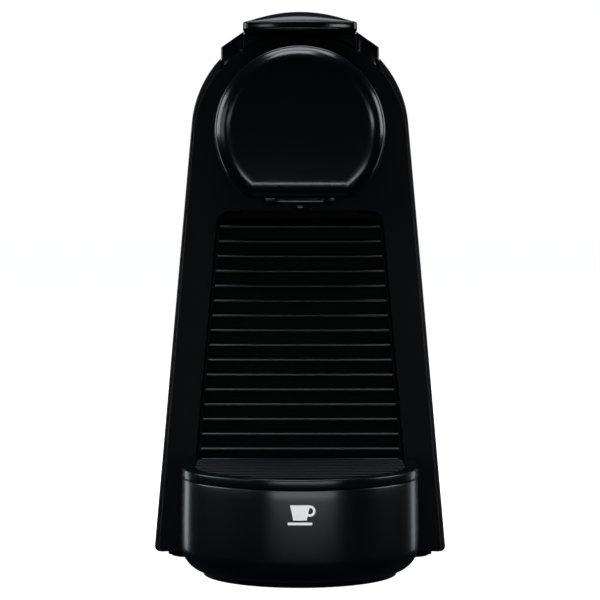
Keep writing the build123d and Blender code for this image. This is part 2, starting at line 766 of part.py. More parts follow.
def pump_plunger():
    return rod_y((24, 62), pump_x, pump_z, 6.0) - rod_y((20, 70), pump_x, pump_z, 1.6)


def pump_cradles():
    """The rubber cradles under both ends of the pump."""
    cradles = []
    for y in (14, 66):
        cradle = block((pump_x - 14, pump_x + 14), (y - 3, y + 3), (3.0, pump_z))
        cradles.append(cradle - rod_y((y - 4, y + 4), pump_x, pump_z, 11.0))
    return Compound(children=cradles)


def thermoblock():
    """The cast heater with its water coil and two contact tails."""
    heater = block((-26, 26), (14, 66), heater_zs)
    heater = fillet(heater.edges().filter_by(Axis.Z), 10)
    ring = Pos(0, 40, heater_zs[1]) * Torus(18, 4)
    heater += ring & block((-40, 40), (0, 90), (heater_zs[1] - 1, heater_zs[1] + 5))
    for side in (-1, 1):
        heater += rod_y((64, 74), side * 12, heater_z, 2.5)
    return heater


def heater_bracket():
    """The sheet bracket that hangs the heater from the brew frame."""
    legs = block((-30, 30), (12.0, 70), (heater_zs[0] - 1.6, heater_zs[0]))
    for side in (-1, 1):
        legs += block(sorted((side * 28.4, side * 30)), (12.0, 70), (heater_zs[0], heater_zs[1] + 4))
    return legs + block((-30, 30), (10.2, 12.0), (heater_zs[0] - 1.6, 134.5))


def thermostat():
    base_z = heater_zs[1]
    return rod_z((base_z, base_z + 4), 0, 40, 8.0) + rod_z((base_z + 4, base_z + 7), 0, 40, 6.0)


def flow_meter():
    """The flow sensor's round housing with its two spigots."""
    body = rod_z((meter_z - 6, meter_z + 6), meter_x, meter_y, 14.0)
    body += rod_z((3.0, meter_z - 6), meter_x, meter_y, 5.0)
    body += rod_y((meter_y - 22, meter_y), meter_x - 9, meter_z, 2.5)
    body += rod_y((meter_y, meter_y + 17), meter_x + 9, meter_z, 2.5)
    body -= rod_z((meter_z - 4, meter_z + 4), meter_x, meter_y, 11.4)
    body += rod_z((meter_z - 4, meter_z + 4), meter_x, meter_y, 1.0)
    return body


def flow_rotor():
    rotor = rod_z((meter_z - 3.4, meter_z + 3.4), meter_x, meter_y, 3.0)
    for index in range(6):
        vane = Pos(meter_x, meter_y, meter_z) * Rot(0, 0, 60 * index) * Pos(6.6, 0, 0) * Box(8.0, 1.0, 6.0)
        rotor += vane
    return rotor - rod_z((meter_z - 4, meter_z + 4), meter_x, meter_y, 1.0 + running)


def suction_hose():
    """From the tank's socket to the flow meter."""
    x = meter_x + 9
    return hose([(0, 93.2, 7), (0, 84, 7), (x, 84, meter_z), (x, meter_y + 17, meter_z)], 2.4, 5)


def feed_hose():
    """From the flow meter to the pump."""
    start = (meter_x - 9, meter_y - 22, meter_z)
    return hose([start, (start[0], -4, meter_z), (pump_x, -4, pump_z), (pump_x, 2, pump_z)], 2.4, 5)


def pressure_hose():
    """From the pump up to the heater."""
    points = [(pump_x, 82, pump_z), (pump_x, 88, pump_z), (-12, 88, heater_z), (-12, 74, heater_z)]
    return hose(points, 2.2, 5)


def brew_pipe():
    """From the heater to the sliding joint behind the cage."""
    points = [(12, 74, heater_z), (12, 83, heater_z), (0, 83, water_pipe_z), (0, 26, water_pipe_z)]
    return hose(points, 2.0, 6)


def control_boards():
    """The upright main board and the two switch boards."""
    board = block((board_x, board_x + 1.6), (6, 78), (24, 92))
    return Compound(children=[board, switch_board(), mirrored(switch_board())])


def board_components():
    """The board's transformer, relay and capacitor."""
    transformer = block((board_x - 15, board_x), (14, 34), (62, 80))
    relay = block((board_x - 12, board_x), (44, 58), (62, 76))
    return Compound(children=[transformer, relay, rod_x((board_x - 12, board_x), 68, 80, 5.0)])


nodes = {
    "base_chassis": base_chassis(),
    "base_ribs": base_ribs(),
    "base_screws": base_screws(),
    "rubber_feet": rubber_feet(),
    "left_shell": side_shell(-1),
    "right_shell": side_shell(1),
    "front_plate": front_plate(),
    "head_barrel": head_barrel(),
    "head_gasket": head_gasket(),
    "head_cap": head_cap(),
    "outlet_guard": outlet_guard(),
    "spout": spout(),
    "coffee_channel": coffee_channel(),
    "extraction_housing": extraction_housing(),
    "extraction_plate": extraction_plate(),
    "brew_frame": brew_frame(),
    "capsule_chute": capsule_chute(),
    "capsule_cage": capsule_cage(),
    "cage_forks": cage_forks(),
    "cage_needles": cage_needles(),
    "water_pipe": water_pipe(),
    "water_sleeve": water_sleeve(),
    "lever": lever(),
    "lever_lip": lever_lip(),
    "lever_axles": lever_axles(),
    "drive_pins": drive_pins(),
    "top_deck": top_deck(),
    "button_shoulders": button_shoulders(),
    "left_button": mirrored(brew_button()),
    "right_button": brew_button(),
    "bay_liner": bay_liner(),
    "drip_tray": drip_tray(),
    "tray_pedestal": tray_pedestal(),
    "tray_badge": tray_badge(),
    "slat_panel": slat_panel(),
    "drip_grid": drip_grid(),
    "capsule_bin": capsule_bin(),
    "tank_dock": tank_dock(),
    "cord_gland": cord_gland(),
    "rear_bulkhead": rear_bulkhead(),
    "water_tank": water_tank(),
    "tank_lid": tank_lid(),
    "lid_pin": lid_pin(),
    "tank_valve": tank_valve(),
    "valve_guide": valve_guide(),
    "valve_spring": valve_spring(),
    "pump_body": pump_body(),
    "pump_plunger": pump_plunger(),
    "pump_cradles": pump_cradles(),
    "thermoblock": thermoblock(),
    "heater_bracket": heater_bracket(),
    "thermostat": thermostat(),
    "flow_meter": flow_meter(),
    "flow_rotor": flow_rotor(),
    "suction_hose": suction_hose(),
    "feed_hose": feed_hose(),
    "pressure_hose": pressure_hose(),
    "brew_pipe": brew_pipe(),
    "control_boards": control_boards(),
    "board_components": board_components(),
}
for name, shape in nodes.items():
    save(name, shape)
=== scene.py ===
import bmesh
import bpy
import json
from math import asin, atan2, copysign, cos, pi, radians, sin, sqrt, tan
from mathutils import Matrix, Vector


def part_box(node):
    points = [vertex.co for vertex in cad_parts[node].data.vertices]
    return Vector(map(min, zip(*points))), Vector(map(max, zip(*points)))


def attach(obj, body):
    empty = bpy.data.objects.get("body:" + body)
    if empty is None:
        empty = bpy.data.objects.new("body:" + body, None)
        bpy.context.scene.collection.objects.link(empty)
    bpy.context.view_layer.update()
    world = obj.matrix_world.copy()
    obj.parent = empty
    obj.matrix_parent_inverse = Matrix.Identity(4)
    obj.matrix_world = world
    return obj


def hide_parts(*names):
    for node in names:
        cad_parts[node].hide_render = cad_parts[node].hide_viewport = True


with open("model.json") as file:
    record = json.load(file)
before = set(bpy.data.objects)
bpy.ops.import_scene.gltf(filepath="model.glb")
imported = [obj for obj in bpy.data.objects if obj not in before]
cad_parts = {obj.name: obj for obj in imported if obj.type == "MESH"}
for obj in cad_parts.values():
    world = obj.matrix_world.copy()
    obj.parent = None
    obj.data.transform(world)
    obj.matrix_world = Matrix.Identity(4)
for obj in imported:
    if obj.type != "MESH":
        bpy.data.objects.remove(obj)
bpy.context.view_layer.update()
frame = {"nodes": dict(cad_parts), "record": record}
print("frame loaded:", len(frame["nodes"]), "parts")

# ---- materials ----

plastic = {
    "shellMatte": {"colour": (0.0026, 0.0032, 0.0038), "rough": 0.46, "grain": 900, "bump": 0.05, "spec": 0.2},
    "plateMatte": {"colour": (0.0026, 0.0035, 0.0044), "rough": 0.46, "grain": 900, "bump": 0.05, "spec": 0.05},
    "glossBlack": {"colour": (0.0008, 0.0014, 0.002), "rough": 0.15, "grain": 60, "bump": 0.004, "spec": 0.5},
    "capGloss": {"colour": (0.0005, 0.001, 0.0017), "rough": 0.18, "grain": 60, "bump": 0.004, "spec": 0.5},
    # painted highlight: a lighter grey for the seam bead, standing in for light caught by the seam's edge
    "seamPaintedHighlight": {"colour": (0.01, 0.0118, 0.0126), "rough": 0.45, "grain": 700, "bump": 0.02, "spec": 0.3},
    "satinBlack": {"colour": (0.0012, 0.002, 0.0026), "rough": 0.24, "grain": 700, "bump": 0.02, "spec": 0.45},
    "slatBlack": {"colour": (0.0034, 0.0042, 0.0046), "rough": 0.3, "grain": 700, "bump": 0.03, "spec": 0.45},
    "gridBlack": {"colour": (0.0014, 0.0024, 0.0028), "rough": 0.22, "grain": 700, "bump": 0.02, "spec": 0.32},
    "innerBlack": {"colour": (0.0008, 0.001, 0.0012), "rough": 0.6, "grain": 500, "bump": 0.08, "spec": 0.05},
    "softRubber": {"colour": (0.008, 0.008, 0.0085), "rough": 0.8, "grain": 400, "bump": 0.12, "spec": 0.25},
    "naturalGrey": {"colour": (0.36, 0.36, 0.34), "rough": 0.42, "grain": 300, "bump": 0.05, "spec": 0.45},
    "pumpWhite": {"colour": (0.62, 0.61, 0.57), "rough": 0.38, "grain": 300, "bump": 0.05, "spec": 0.45},
    "boardGreen": {"colour": (0.012, 0.13, 0.045), "rough": 0.35, "grain": 200, "bump": 0.05, "spec": 0.5},
    "markWhiteGlow": {"colour": (0.78, 0.78, 0.76), "rough": 0.45, "grain": 600, "bump": 0.02, "spec": 0.4},
}

metal = {
    "brushedSteel": {"colour": (0.60, 0.60, 0.59), "rough": 0.28, "stretch": (1, 1, 60)},
    "castAluminium": {"colour": (0.66, 0.67, 0.68), "rough": 0.42, "stretch": (1, 1, 1)},
    "turnedBrass": {"colour": (0.78, 0.58, 0.27), "rough": 0.24, "stretch": (1, 60, 1)},
}


def link(tree, a, output, b, entry):
    tree.links.new(a.outputs[output], b.inputs[entry])


def startMaterial(name):   # the material, its tree, its shader and the object's own coordinates
    mat = bpy.data.materials.new(name)
    mat.use_nodes = True
    tree = mat.node_tree
    return mat, tree, tree.nodes["Principled BSDF"], tree.nodes.new("ShaderNodeTexCoord")


def addNoise(tree, source, output, scale, detail):
    noise = tree.nodes.new("ShaderNodeTexNoise")
    noise.inputs["Scale"].default_value = scale
    noise.inputs["Detail"].default_value = detail
    link(tree, source, output, noise, "Vector")
    return noise


def addRoughness(tree, noise, shader, low, high, span=(0.0, 1.0)):
    rough = tree.nodes.new("ShaderNodeMapRange")
    for entry, value in (("From Min", span[0]), ("From Max", span[1]), ("To Min", low), ("To Max", high)):
        rough.inputs[entry].default_value = value
    link(tree, noise, "Fac", rough, "Value")
    link(tree, rough, "Result", shader, "Roughness")


def addTint(tree, noise, shader, colour, shares, span=(0.0, 1.0)):
    tint = tree.nodes.new("ShaderNodeValToRGB")
    for stop, place, share in zip(tint.color_ramp.elements, span, shares):
        stop.position = place
        stop.color = [c * share for c in colour] + [1]
    link(tree, noise, "Fac", tint, "Fac")
    link(tree, tint, "Color", shader, "Base Color")


def addRelief(tree, noise, shader, strength, depth):
    relief = tree.nodes.new("ShaderNodeBump")
    relief.inputs["Strength"].default_value = strength
    relief.inputs["Distance"].default_value = depth
    link(tree, noise, "Fac", relief, "Height")
    link(tree, relief, "Normal", shader, "Normal")


def mouldedPlastic(name):
    look = plastic[name]
    mat, tree, shader, place = startMaterial(name)
    shader.inputs["Specular IOR Level"].default_value = look["spec"]
    grain = addNoise(tree, place, "Object", look["grain"], 2.0)
    flow = addNoise(tree, place, "Object", 14.0, 3.0)   # broad, faint moulding flow
    span = (0.3, 0.7)
    addRoughness(tree, flow, shader, look["rough"] * 0.90, look["rough"] * 1.10, span)
    addTint(tree, flow, shader, look["colour"], (0.92, 1.08), span)
    addRelief(tree, grain, shader, look["bump"], 0.0003)
    return mat


def workedMetal(name):
    look = metal[name]
    mat, tree, shader, place = startMaterial(name)
    shader.inputs["Metallic"].default_value = 1.0
    pull = tree.nodes.new("ShaderNodeMapping")
    pull.inputs["Scale"].default_value = look["stretch"]
    link(tree, place, "Object", pull, "Vector")
    scratch = addNoise(tree, pull, "Vector", 220.0, 4.0)
    addRoughness(tree, scratch, shader, look["rough"] * 0.7, look["rough"] * 1.3)
    addTint(tree, scratch, shader, look["colour"], (0.85, 1.0))
    addRelief(tree, scratch, shader, 0.15, 0.0002)
    return mat


smoked = {"colour": (0.30, 0.32, 0.33), "rough": 0.06, "through": 0.80, "ior": 1.49}


def smokedClear():
    mat, tree, shader, place = startMaterial("smokedClear")
    shader.inputs["Transmission Weight"].default_value = smoked["through"]
    shader.inputs["IOR"].default_value = smoked["ior"]
    flow = addNoise(tree, place, "Object", 18.0, 2.0)
    addRoughness(tree, flow, shader, smoked["rough"] * 0.5, smoked["rough"] * 1.6)
    addTint(tree, flow, shader, smoked["colour"], (0.9, 1.0))
    return mat


finish = {name: mouldedPlastic(name) for name in plastic}
# painted light: the white mark's shader also glows faintly (emission 0.35) to stand in for light it catches;
# its white colour is the print
markGlowShader = finish["markWhiteGlow"].node_tree.nodes["Principled BSDF"]
markGlowShader.inputs["Emission Color"].default_value = (1, 1, 1, 1)
markGlowShader.inputs["Emission Strength"].default_value = 0.35
finish.update({name: workedMetal(name) for name in metal})
finish["smokedClear"] = smokedClear()

slotFinish = {
    "shell": "shellMatte", "front": "plateMatte", "gloss": "glossBlack", "satin": "satinBlack",
    "frame": "innerBlack", "cage": "naturalGrey", "tank": "smokedClear", "rubber": "softRubber",
    "steel": "brushedSteel", "pump": "pumpWhite", "aluminium": "castAluminium", "brass": "turnedBrass",
    "board": "boardGreen", "mark": "markWhiteGlow",
}
for part in frame["record"]["subparts"]:
    slots = frame["nodes"][part["node"]].material_slots
    for slot in slots:
        slot.material = finish[slotFinish[part["material_slot"]]]
print("materials on the frame")

# ---- camera and light ----

view = {"eye": (0.0, -0.9135, 0.1258), "pitch": 1.95, "lens": 132.0}
camera = bpy.data.objects.new("camera", bpy.data.cameras.new("camera"))
camera.data.lens = view["lens"]
camera.data.sensor_width = 36.0
camera.data.clip_start = 0.01
camera.location = view["eye"]
camera.rotation_euler = (radians(90 - view["pitch"]), 0, 0)
bpy.context.scene.collection.objects.link(camera)
bpy.context.scene.camera = camera

lamps = {
    "topBox": {"at": (0.0, 0.02, 1.05), "aim": (0.0, -0.03, 0.1), "size": (0.75, 0.66), "watts": 6.5},
    "keyFill": {"at": (-0.10, -0.66, 1.30), "aim": (0.0, -0.05, 0.1), "size": (0.60, 0.44), "watts": 6.0},
    "leftSide": {"at": (-1.05, -0.02, 0.42), "aim": (0.0, -0.05, 0.16), "size": (0.80, 0.55), "watts": 6.5},
    "leftWash": {"at": (-0.90, -0.66, 0.30), "aim": (0.0, -0.05, 0.16), "size": (0.50, 0.36), "watts": 0.9},
    "rightSide": {"at": (1.05, -0.02, 0.42), "aim": (0.0, -0.05, 0.16), "size": (0.66, 0.55), "watts": 5.4},
    "leftRim": {"at": (-0.72, 0.78, 0.05), "aim": (0.0, -0.1, 0.05), "size": (0.22, 0.45), "watts": 0.50},
    "rightRim": {"at": (0.72, 0.78, 0.05), "aim": (0.0, -0.1, 0.05), "size": (0.16, 0.45), "watts": 0.38},
    "backGlow": {"at": (0.0, 1.3, 0.46), "aim": (0.0, 0.0, 0.24), "size": (1.0, 0.20), "watts": 0.15},
    "lowFront": {"at": (0.02, -0.50, 0.045), "aim": (0.0, -0.16, 0.03), "size": (0.42, 0.030), "watts": 0.34},
    "bandRight": {"at": (0.48, -0.96, 0.278), "aim": (0.0, -0.1, 0.2), "size": (0.20, 0.06), "watts": 0.34},
    "bandLeft": {"at": (-0.42, -0.98, 0.278), "aim": (0.0, -0.1, 0.2), "size": (0.18, 0.06), "watts": 0.14},
}
for name, lamp in lamps.items():
    light = bpy.data.lights.new(name, "AREA")
    light.shape = "RECTANGLE"
    light.size, light.size_y = lamp["size"]
    light.energy = lamp["watts"]
    light.color = (0.90, 0.96, 1.0)
    holder = bpy.data.objects.new(name, light)
    holder.location = lamp["at"]
    holder.rotation_euler = (Vector(lamp["aim"]) - Vector(lamp["at"])).to_track_quat("-Z", "Y").to_euler()
    holder.visible_camera = False
    bpy.context.scene.collection.objects.link(holder)

studio = {"seen": 1.0, "fill": 0.014, "floorGlow": 0.985}
world = bpy.data.worlds.new("studio")
bpy.context.scene.world = world
world.use_nodes = True
sky = world.node_tree
backdrop = sky.nodes["Background"]
rays = sky.nodes.new("ShaderNodeLightPath")
level = sky.nodes.new("ShaderNodeMapRange")   # white behind the object, dim around it
level.inputs["To Min"].default_value = studio["fill"]
level.inputs["To Max"].default_value = studio["seen"]
sky.links.new(rays.outputs["Is Camera Ray"], level.inputs["Value"])
sky.links.new(level.outputs["Result"], backdrop.inputs["Strength"])
tone = sky.nodes.new("ShaderNodeMix")
tone.data_type = "RGBA"
tone.inputs[6].default_value = (0.62, 0.84, 1.0, 1)   # sockets 6 and 7 are the two colours
tone.inputs[7].default_value = (1, 1, 1, 1)
sky.links.new(rays.outputs["Is Camera Ray"], tone.inputs[0])
sky.links.new(tone.outputs[2], backdrop.inputs["Color"])
bpy.context.scene.view_settings.view_transform = "Standard"

floorMesh = bpy.data.meshes.new("floor")
floorMesh.from_pydata([(-9, -4, 0), (9, -4, 0), (9, 14, 0), (-9, 14, 0)], [], [(0, 1, 2, 3)])
floor = bpy.data.objects.new("floor", floorMesh)
bpy.context.scene.collection.objects.link(floor)
paper = bpy.data.materials.new("paleFloor")
paper.use_nodes = True
paperShader = paper.node_tree.nodes["Principled BSDF"]
paperShader.inputs["Base Color"].default_value = (0.8, 0.8, 0.8, 1)
paperShader.inputs["Roughness"].default_value = 0.9
paperShader.inputs["Specular IOR Level"].default_value = 0.0
paperShader.inputs["Emission Color"].default_value = (1, 1, 1, 1)
paperShader.inputs["Emission Strength"].default_value = studio["floorGlow"]
floorMesh.materials.append(paper)
floor.visible_glossy = False
floor.visible_diffuse = False
floor.visible_shadow = False
print("camera, light and floor set")

# ---- mesh helpers ----


def dress(mesh, material, sharp):
    mesh.materials.clear()
    mesh.materials.append(finish[material])
    mesh.polygons.foreach_set("use_smooth", [True] * len(mesh.polygons))
    mesh.set_sharp_from_angle(angle=radians(sharp))


def setDown(name, data):
    holder = bpy.data.objects.new(name, data)
    bpy.context.scene.collection.objects.link(holder)
    return holder


def finishMesh(name, mesh, material, sharp=38):
    dress(mesh, material, sharp)
    return setDown(name, mesh)


def addRings(bm, rings, closed=True, wrap=False, capFirst=False, capLast=False):
    rows = [[bm.verts.new(point) for point in ring] for ring in rings]
    pairs = list(zip(rows, rows[1:])) + ([(rows[-1], rows[0])] if wrap else [])
    count = len(rows[0])
    for a, b in pairs:
        for i in range(count if closed else count - 1):
            j = (i + 1) % count
            bm.faces.new((a[i], a[j], b[j], b[i]))
    if not closed:   # close the two long open edges
        for i in (0, count - 1):
            bm.faces.new([row[i] for row in rows])
    if capFirst:
        bm.faces.new(rows[0])
    if capLast:
        bm.faces.new(rows[-1])


def closeMesh(name, bm):
    bmesh.ops.remove_doubles(bm, verts=bm.verts, dist=1e-7)
    bmesh.ops.recalc_face_normals(bm, faces=bm.faces)
    mesh = bpy.data.meshes.new(name)
    bm.to_mesh(mesh)
    bm.free()
    return mesh


def toPiece(name, bm, material, sharp=38):
    return finishMesh(name, closeMesh(name, bm), material, sharp)


def skin(name, rings, material, sharp=38, **ends):
    bm = bmesh.new()
    addRings(bm, rings, **ends)
    return toPiece(name, bm, material, sharp)


def addBar(bm, corners, bevel):   # eight corners: the four of one end, then the four of the other
    verts = [bm.verts.new(corner) for corner in corners]
    faces = [(0, 1, 2, 3), (4, 5, 6, 7), (0, 1, 5, 4), (1, 2, 6, 5), (2, 3, 7, 6), (3, 0, 4, 7)]
    made = [bm.faces.new([verts[i] for i in face]) for face in faces]
    bmesh.ops.recalc_face_normals(bm, faces=made)
    edges = {edge for face in made for edge in face.edges}
    if bevel:
        bmesh.ops.bevel(bm, geom=list(edges), offset=bevel, segments=3, profile=0.6, affect="EDGES")


def addBox(bm, xs, ys, zs, bevel=0.0):
    outline = ((xs[0], ys[0]), (xs[1], ys[0]), (xs[1], ys[1]), (xs[0], ys[1]))
    ends = [[(x, y, z) for x, y in outline] for z in zs]
    addBar(bm, ends[0] + ends[1], bevel)


def evaluated(thing):
    return bpy.data.meshes.new_from_object(thing.evaluated_get(bpy.context.evaluated_depsgraph_get()))


def flatPiece(name, loops, front, back, bevel, material):   # loops of (x, z), cut from sheet
    curve = bpy.data.curves.new(name, "CURVE")
    curve.dimensions = "2D"
    curve.fill_mode = "BOTH"
    for loop in loops:
        spline = curve.splines.new("POLY")
        spline.points.add(len(loop) - 1)
        for point, (x, z) in zip(spline.points, loop):
            point.co = (x, z, 0, 1)
        spline.use_cyclic_u = True
    curve.extrude = (back - front) / 2 - bevel
    curve.bevel_depth = bevel
    curve.bevel_resolution = 2
    curve.offset = -bevel
    shape = setDown(name, curve)
    mesh = evaluated(shape)
    bpy.data.objects.remove(shape)
    mesh.transform(Matrix.Translation((0, (front + back) / 2, 0)) @ Matrix.Rotation(radians(90), 4, "X"))
    return finishMesh(name, mesh, material, 30)


def arc(centre, radius, fromDegrees, toDegrees, steps):
    turns = [radians(fromDegrees + (toDegrees - fromDegrees) * i / steps) for i in range(steps + 1)]
    return [(centre[0] + radius * cos(t), centre[1] + radius * sin(t)) for t in turns]


# ---- brew head ----

low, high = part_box("head_barrel")
brewHead = {
    "middle": high.z - high.x, "flat": low.z, "base": high.y, "front": low.y,
    "radius": high.x, "draft": 0.0011, "wall": 0.0022, "corner": 0.0032, "soft": 0.0004,
}


def headRing(inset, y, radius):
    r, c = radius - inset, max(brewHead["corner"] - inset, 0.0004)
    flat = brewHead["flat"] + inset
    cornerZ = flat + c
    cornerX = sqrt((r - c) ** 2 - (brewHead["middle"] - cornerZ) ** 2)
    lean = atan2(cornerZ - brewHead["middle"], cornerX) * 180 / pi
    outline = arc((0, brewHead["middle"]), r, lean, 180 - lean, 120)
    outline += arc((-cornerX, cornerZ), c, 180 - lean, 270, 8)[1:]
    outline += [(-cornerX + 2 * cornerX * i / 12, flat) for i in range(1, 12)]
    outline += arc((cornerX, cornerZ), c, 270, 360 + lean, 8)[:-1]
    return [(x, y, z) for x, z in outline]


def makeHeadBarrel():
    r, front, base = brewHead["radius"], brewHead["front"], brewHead["base"]
    draft, soft = brewHead["draft"], brewHead["soft"]
    steps = ((0.0, base), (0.0, base - soft), (draft, front + soft), (draft + soft, front))
    outer = [headRing(inset, y, r) for inset, y in steps]
    inner = [headRing(draft + brewHead["wall"], y, r) for y in (front, front + 0.002, base)]
    barrel = skin("headBarrel", outer + inner, "satinBlack", wrap=True)
    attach(barrel, "machine")
    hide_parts("head_barrel")


def makeHeadCap():
    low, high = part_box("head_cap")
    edge = {"across": 0.0066, "deep": 0.0040, "dome": 0.00012, "reach": 0.0225}
    rings = [headRing(brewHead["soft"], high.y, high.x), headRing(0, high.y - brewHead["soft"], high.x)]
    face = low.y + edge["dome"]
    for i in range(19):
        t = radians(5 * i)
        rings.append(headRing(edge["across"] * (1 - cos(t)), face + edge["deep"] * (1 - sin(t)), high.x))
    for i in range(1, 9):
        share = i / 8
        inset = edge["across"] + share * (edge["reach"] - edge["across"])
        rings.append(headRing(inset, low.y + edge["dome"] * (1 - share) ** 2, high.x))
    cap = skin("headCap", rings, "capGloss", sharp=50, capFirst=True, capLast=True)
    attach(cap, "machine")
    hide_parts("head_cap")


def makeOutlet():
    low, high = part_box("outlet_guard")
    halfX, halfY, round_ = high.x, (high.y - low.y) / 2, 0.0016
    middle = (high.y + low.y) / 2

    def ring(inset, z):
        c = 0.0068 - inset
        x, y = halfX - inset - c, halfY - inset - c
        outline = []
        for sx, sy, start in ((1, 1, 0), (-1, 1, 90), (-1, -1, 180), (1, -1, 270)):
            outline += arc((sx * x, middle + sy * y), c, start, start + 90, 10)
        return [(px, py, z) for px, py in outline]

    rings = [ring(0, high.z), ring(0, low.z + round_)]
    for i in range(1, 7):
        t = radians(15 * i)
        rings.append(ring(round_ * (1 - cos(t)), low.z + round_ - round_ * sin(t)))
    rings.append(ring(0.005, low.z))
    guard = skin("outletGuard", rings, "glossBlack", sharp=50, capFirst=True, capLast=True)
    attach(guard, "machine")
    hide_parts("outlet_guard")


makeHeadBarrel()
makeHeadCap()
makeOutlet()
print("brew head built")

# ---- side shells and front plate ----

low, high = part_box("right_shell")
body = {
    "front": low.y, "rear": high.y, "bottom": low.z, "lean": radians(5.1), "wall": 0.0022,
    "frontArch": (0.1605, 0.0408), "rearArch": (0.1350, 0.0430), "plateArch": (0.1577, 0.0399),
    "plateLean": radians(4.9), "gap": 0.0002, "corner": 0.0020, "rim": 0.0007,
    "lap": 0.0033, "chamfer": 0.0004, "flare": 0.0003, "soft": 0.0005, "crownSoft": 0.0006,
}
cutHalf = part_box("button_shoulders")[1].x + 0.0001
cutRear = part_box("top_deck")[1].y + 0.0002


def archAt(y):
    share = (y - body["front"]) / (body["rear"] - body["front"])
    return [a + share * (b - a) for a, b in zip(body["frontArch"], body["rearArch"])]


def sideLine(y, centre, radius, lean, fromX):   # the right half, from x over the arch and down to the foot
    top = asin(min(fromX / radius, 1.0))
    turns = [top + (pi / 2 - lean - top) * i / 30 for i in range(31)]
    points = [(radius * sin(t), y, centre + radius * cos(t)) for t in turns]
    x, y, z = points[-1]
    c = body["corner"]
    levels = [z + (body["bottom"] + c - z) * i / 26 for i in range(1, 27)]
    points += [(x + (z - level) * tan(lean), y, level) for level in levels]
    edge = points[-1][0] - c
    turns = [radians(15 * i) for i in range(1, 7)]
    points += [(edge + c * cos(t), y, body["bottom"] + c - c * sin(t)) for t in turns]
    return points


def shellRow(y, inset, fromX):
    centre, radius = archAt(y)
    return sideLine(y, centre, radius - inset, body["lean"], fromX)


def plateRow(y, grow, fromX):
    centre, radius = body["plateArch"]
    return sideLine(y, centre, radius + grow, body["plateLean"], fromX)


def makeShell(side):
    front, rear, rim, wall = body["front"], body["rear"], body["rim"], body["wall"]
    gap, soft = body["gap"], body["soft"]
    rows = [plateRow(y, grow, cutHalf) for y, grow in (
        (front + body["lap"], gap), (front + body["chamfer"], gap), (front, gap + body["flare"]))]
    for i in range(6):
        t = radians(18 * i)
        rows.append(shellRow(front + rim - rim * cos(t), rim * (1 - sin(t)), cutHalf))
    rows += [shellRow(front + (rear - front) * i / 24, 0, cutHalf) for i in range(1, 24)]
    rows += [shellRow(y, inset, cutHalf) for y, inset in (
        (rear - soft, 0), (rear, soft), (rear, wall), (front + body["lap"], wall))]
    bm = bmesh.new()
    addRings(bm, rows, closed=False, wrap=True)
    plan = [(cutRear, body["crownSoft"]), (cutRear + body["crownSoft"], 0)]
    plan += [(cutRear + (rear - cutRear) * i / 12, 0) for i in range(1, 12)]
    plan += [(rear - soft, 0), (rear, soft), (rear, wall), (cutRear, wall)]
    crown = []
    for y, inset in plan:   # the part of the arch behind the deck
        centre, radius = archAt(y)
        start, end = asin(0.0001 / radius), asin(cutHalf / radius)
        turns = [start + (end - start) * i / 20 for i in range(21)]
        crown.append([((radius - inset) * sin(t), y, centre + (radius - inset) * cos(t)) for t in turns])
    addRings(bm, crown, closed=False, wrap=True)
    if side < 0:
        bmesh.ops.scale(bm, vec=(-1, 1, 1), verts=bm.verts)
    name = "rightShell" if side > 0 else "leftShell"
    shell = toPiece(name, bm, "shellMatte", 40)
    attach(shell, "machine")
    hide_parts("right_shell" if side > 0 else "left_shell")


window = {"top": 0.1311, "half": 0.0314, "level": 0.1258, "corner": 0.0054}
collar = {"half": 0.0213, "gap": 0.00028, "drop": 0.0002, "soft": 0.0003}
seam = {"spread": 0.00010, "inset": 0.00003, "sunk": 0.00005, "deep": 0.0006}


def windowHalf(z, grow=0.0):
    return window["half"] + grow + (window["level"] - z) * tan(body["lean"])


def makeFrontPlate():
    low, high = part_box("front_plate")
    centre, radius = body["plateArch"]
    right = [(x, min(z, high.z)) for x, y, z in plateRow(0, 0, 0.0)]
    outline = [(-x, z) for x, z in reversed(right[1:])] + right
    c, top = window["corner"], window["top"]
    side = windowHalf(top - c)
    foot = windowHalf(low.z)
    outline += [(foot, low.z), (side, top - c)]
    outline += arc((side - c, top - c), c, 0, 90, 10)[1:]
    outline += arc((-side + c, top - c), c, 90, 180, 10)
    outline += [(-foot, low.z)]
    loops = [outline]
    for side in (-1, 1):   # the square top under the lever, parted from the arch by a fine seam
        reach = radius + collar["gap"]
        start = sqrt(reach ** 2 - (high.z - collar["drop"] - centre) ** 2)
        xs = [start + (collar["half"] - start) * i / 16 for i in range(17)]
        arched = [(side * x, centre + sqrt(reach ** 2 - x ** 2)) for x in xs]
        loops.append(arched + [(side * collar["half"], high.z), (side * start, high.z)])
    plate = flatPiece("frontPlate", loops, low.y, high.y, collar["soft"], "plateMatte")
    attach(plate, "machine")
    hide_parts("front_plate")


def makeSeam(side):   # the fine bead between shell and plate, lighter grey than both: a painted highlight along the seam
    bm = bmesh.new()
    spread, inset, gap = seam["spread"], seam["inset"], body["gap"]
    front = body["front"] + seam["sunk"]
    back = front + seam["deep"]
    lines = [plateRow(y, grow, cutHalf) for y, grow in (
        (front, -spread), (front, gap + spread), (back, gap - inset), (back, inset))]
    rings = [[(side * x, y, z) for x, y, z in ring] for ring in zip(*lines)]
    addRings(bm, rings, capFirst=True, capLast=True)
    bead = toPiece("leftSeam" if side < 0 else "rightSeam", bm, "seamPaintedHighlight", 30)
    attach(bead, "machine")


makeShell(1)
makeShell(-1)
makeFrontPlate()
makeSeam(1)
makeSeam(-1)
print("shells and front plate built")

# ---- spout ----


def lathe(bm, centre, profile, steps=48):   # profile of (radius, z), closed round the axis
    rings = [[(centre[0] + r * cos(2 * pi * i / steps), centre[1] + r * sin(2 * pi * i / steps), z)
              for i in range(steps)] for r, z in profile]
    addRings(bm, rings, wrap=True)


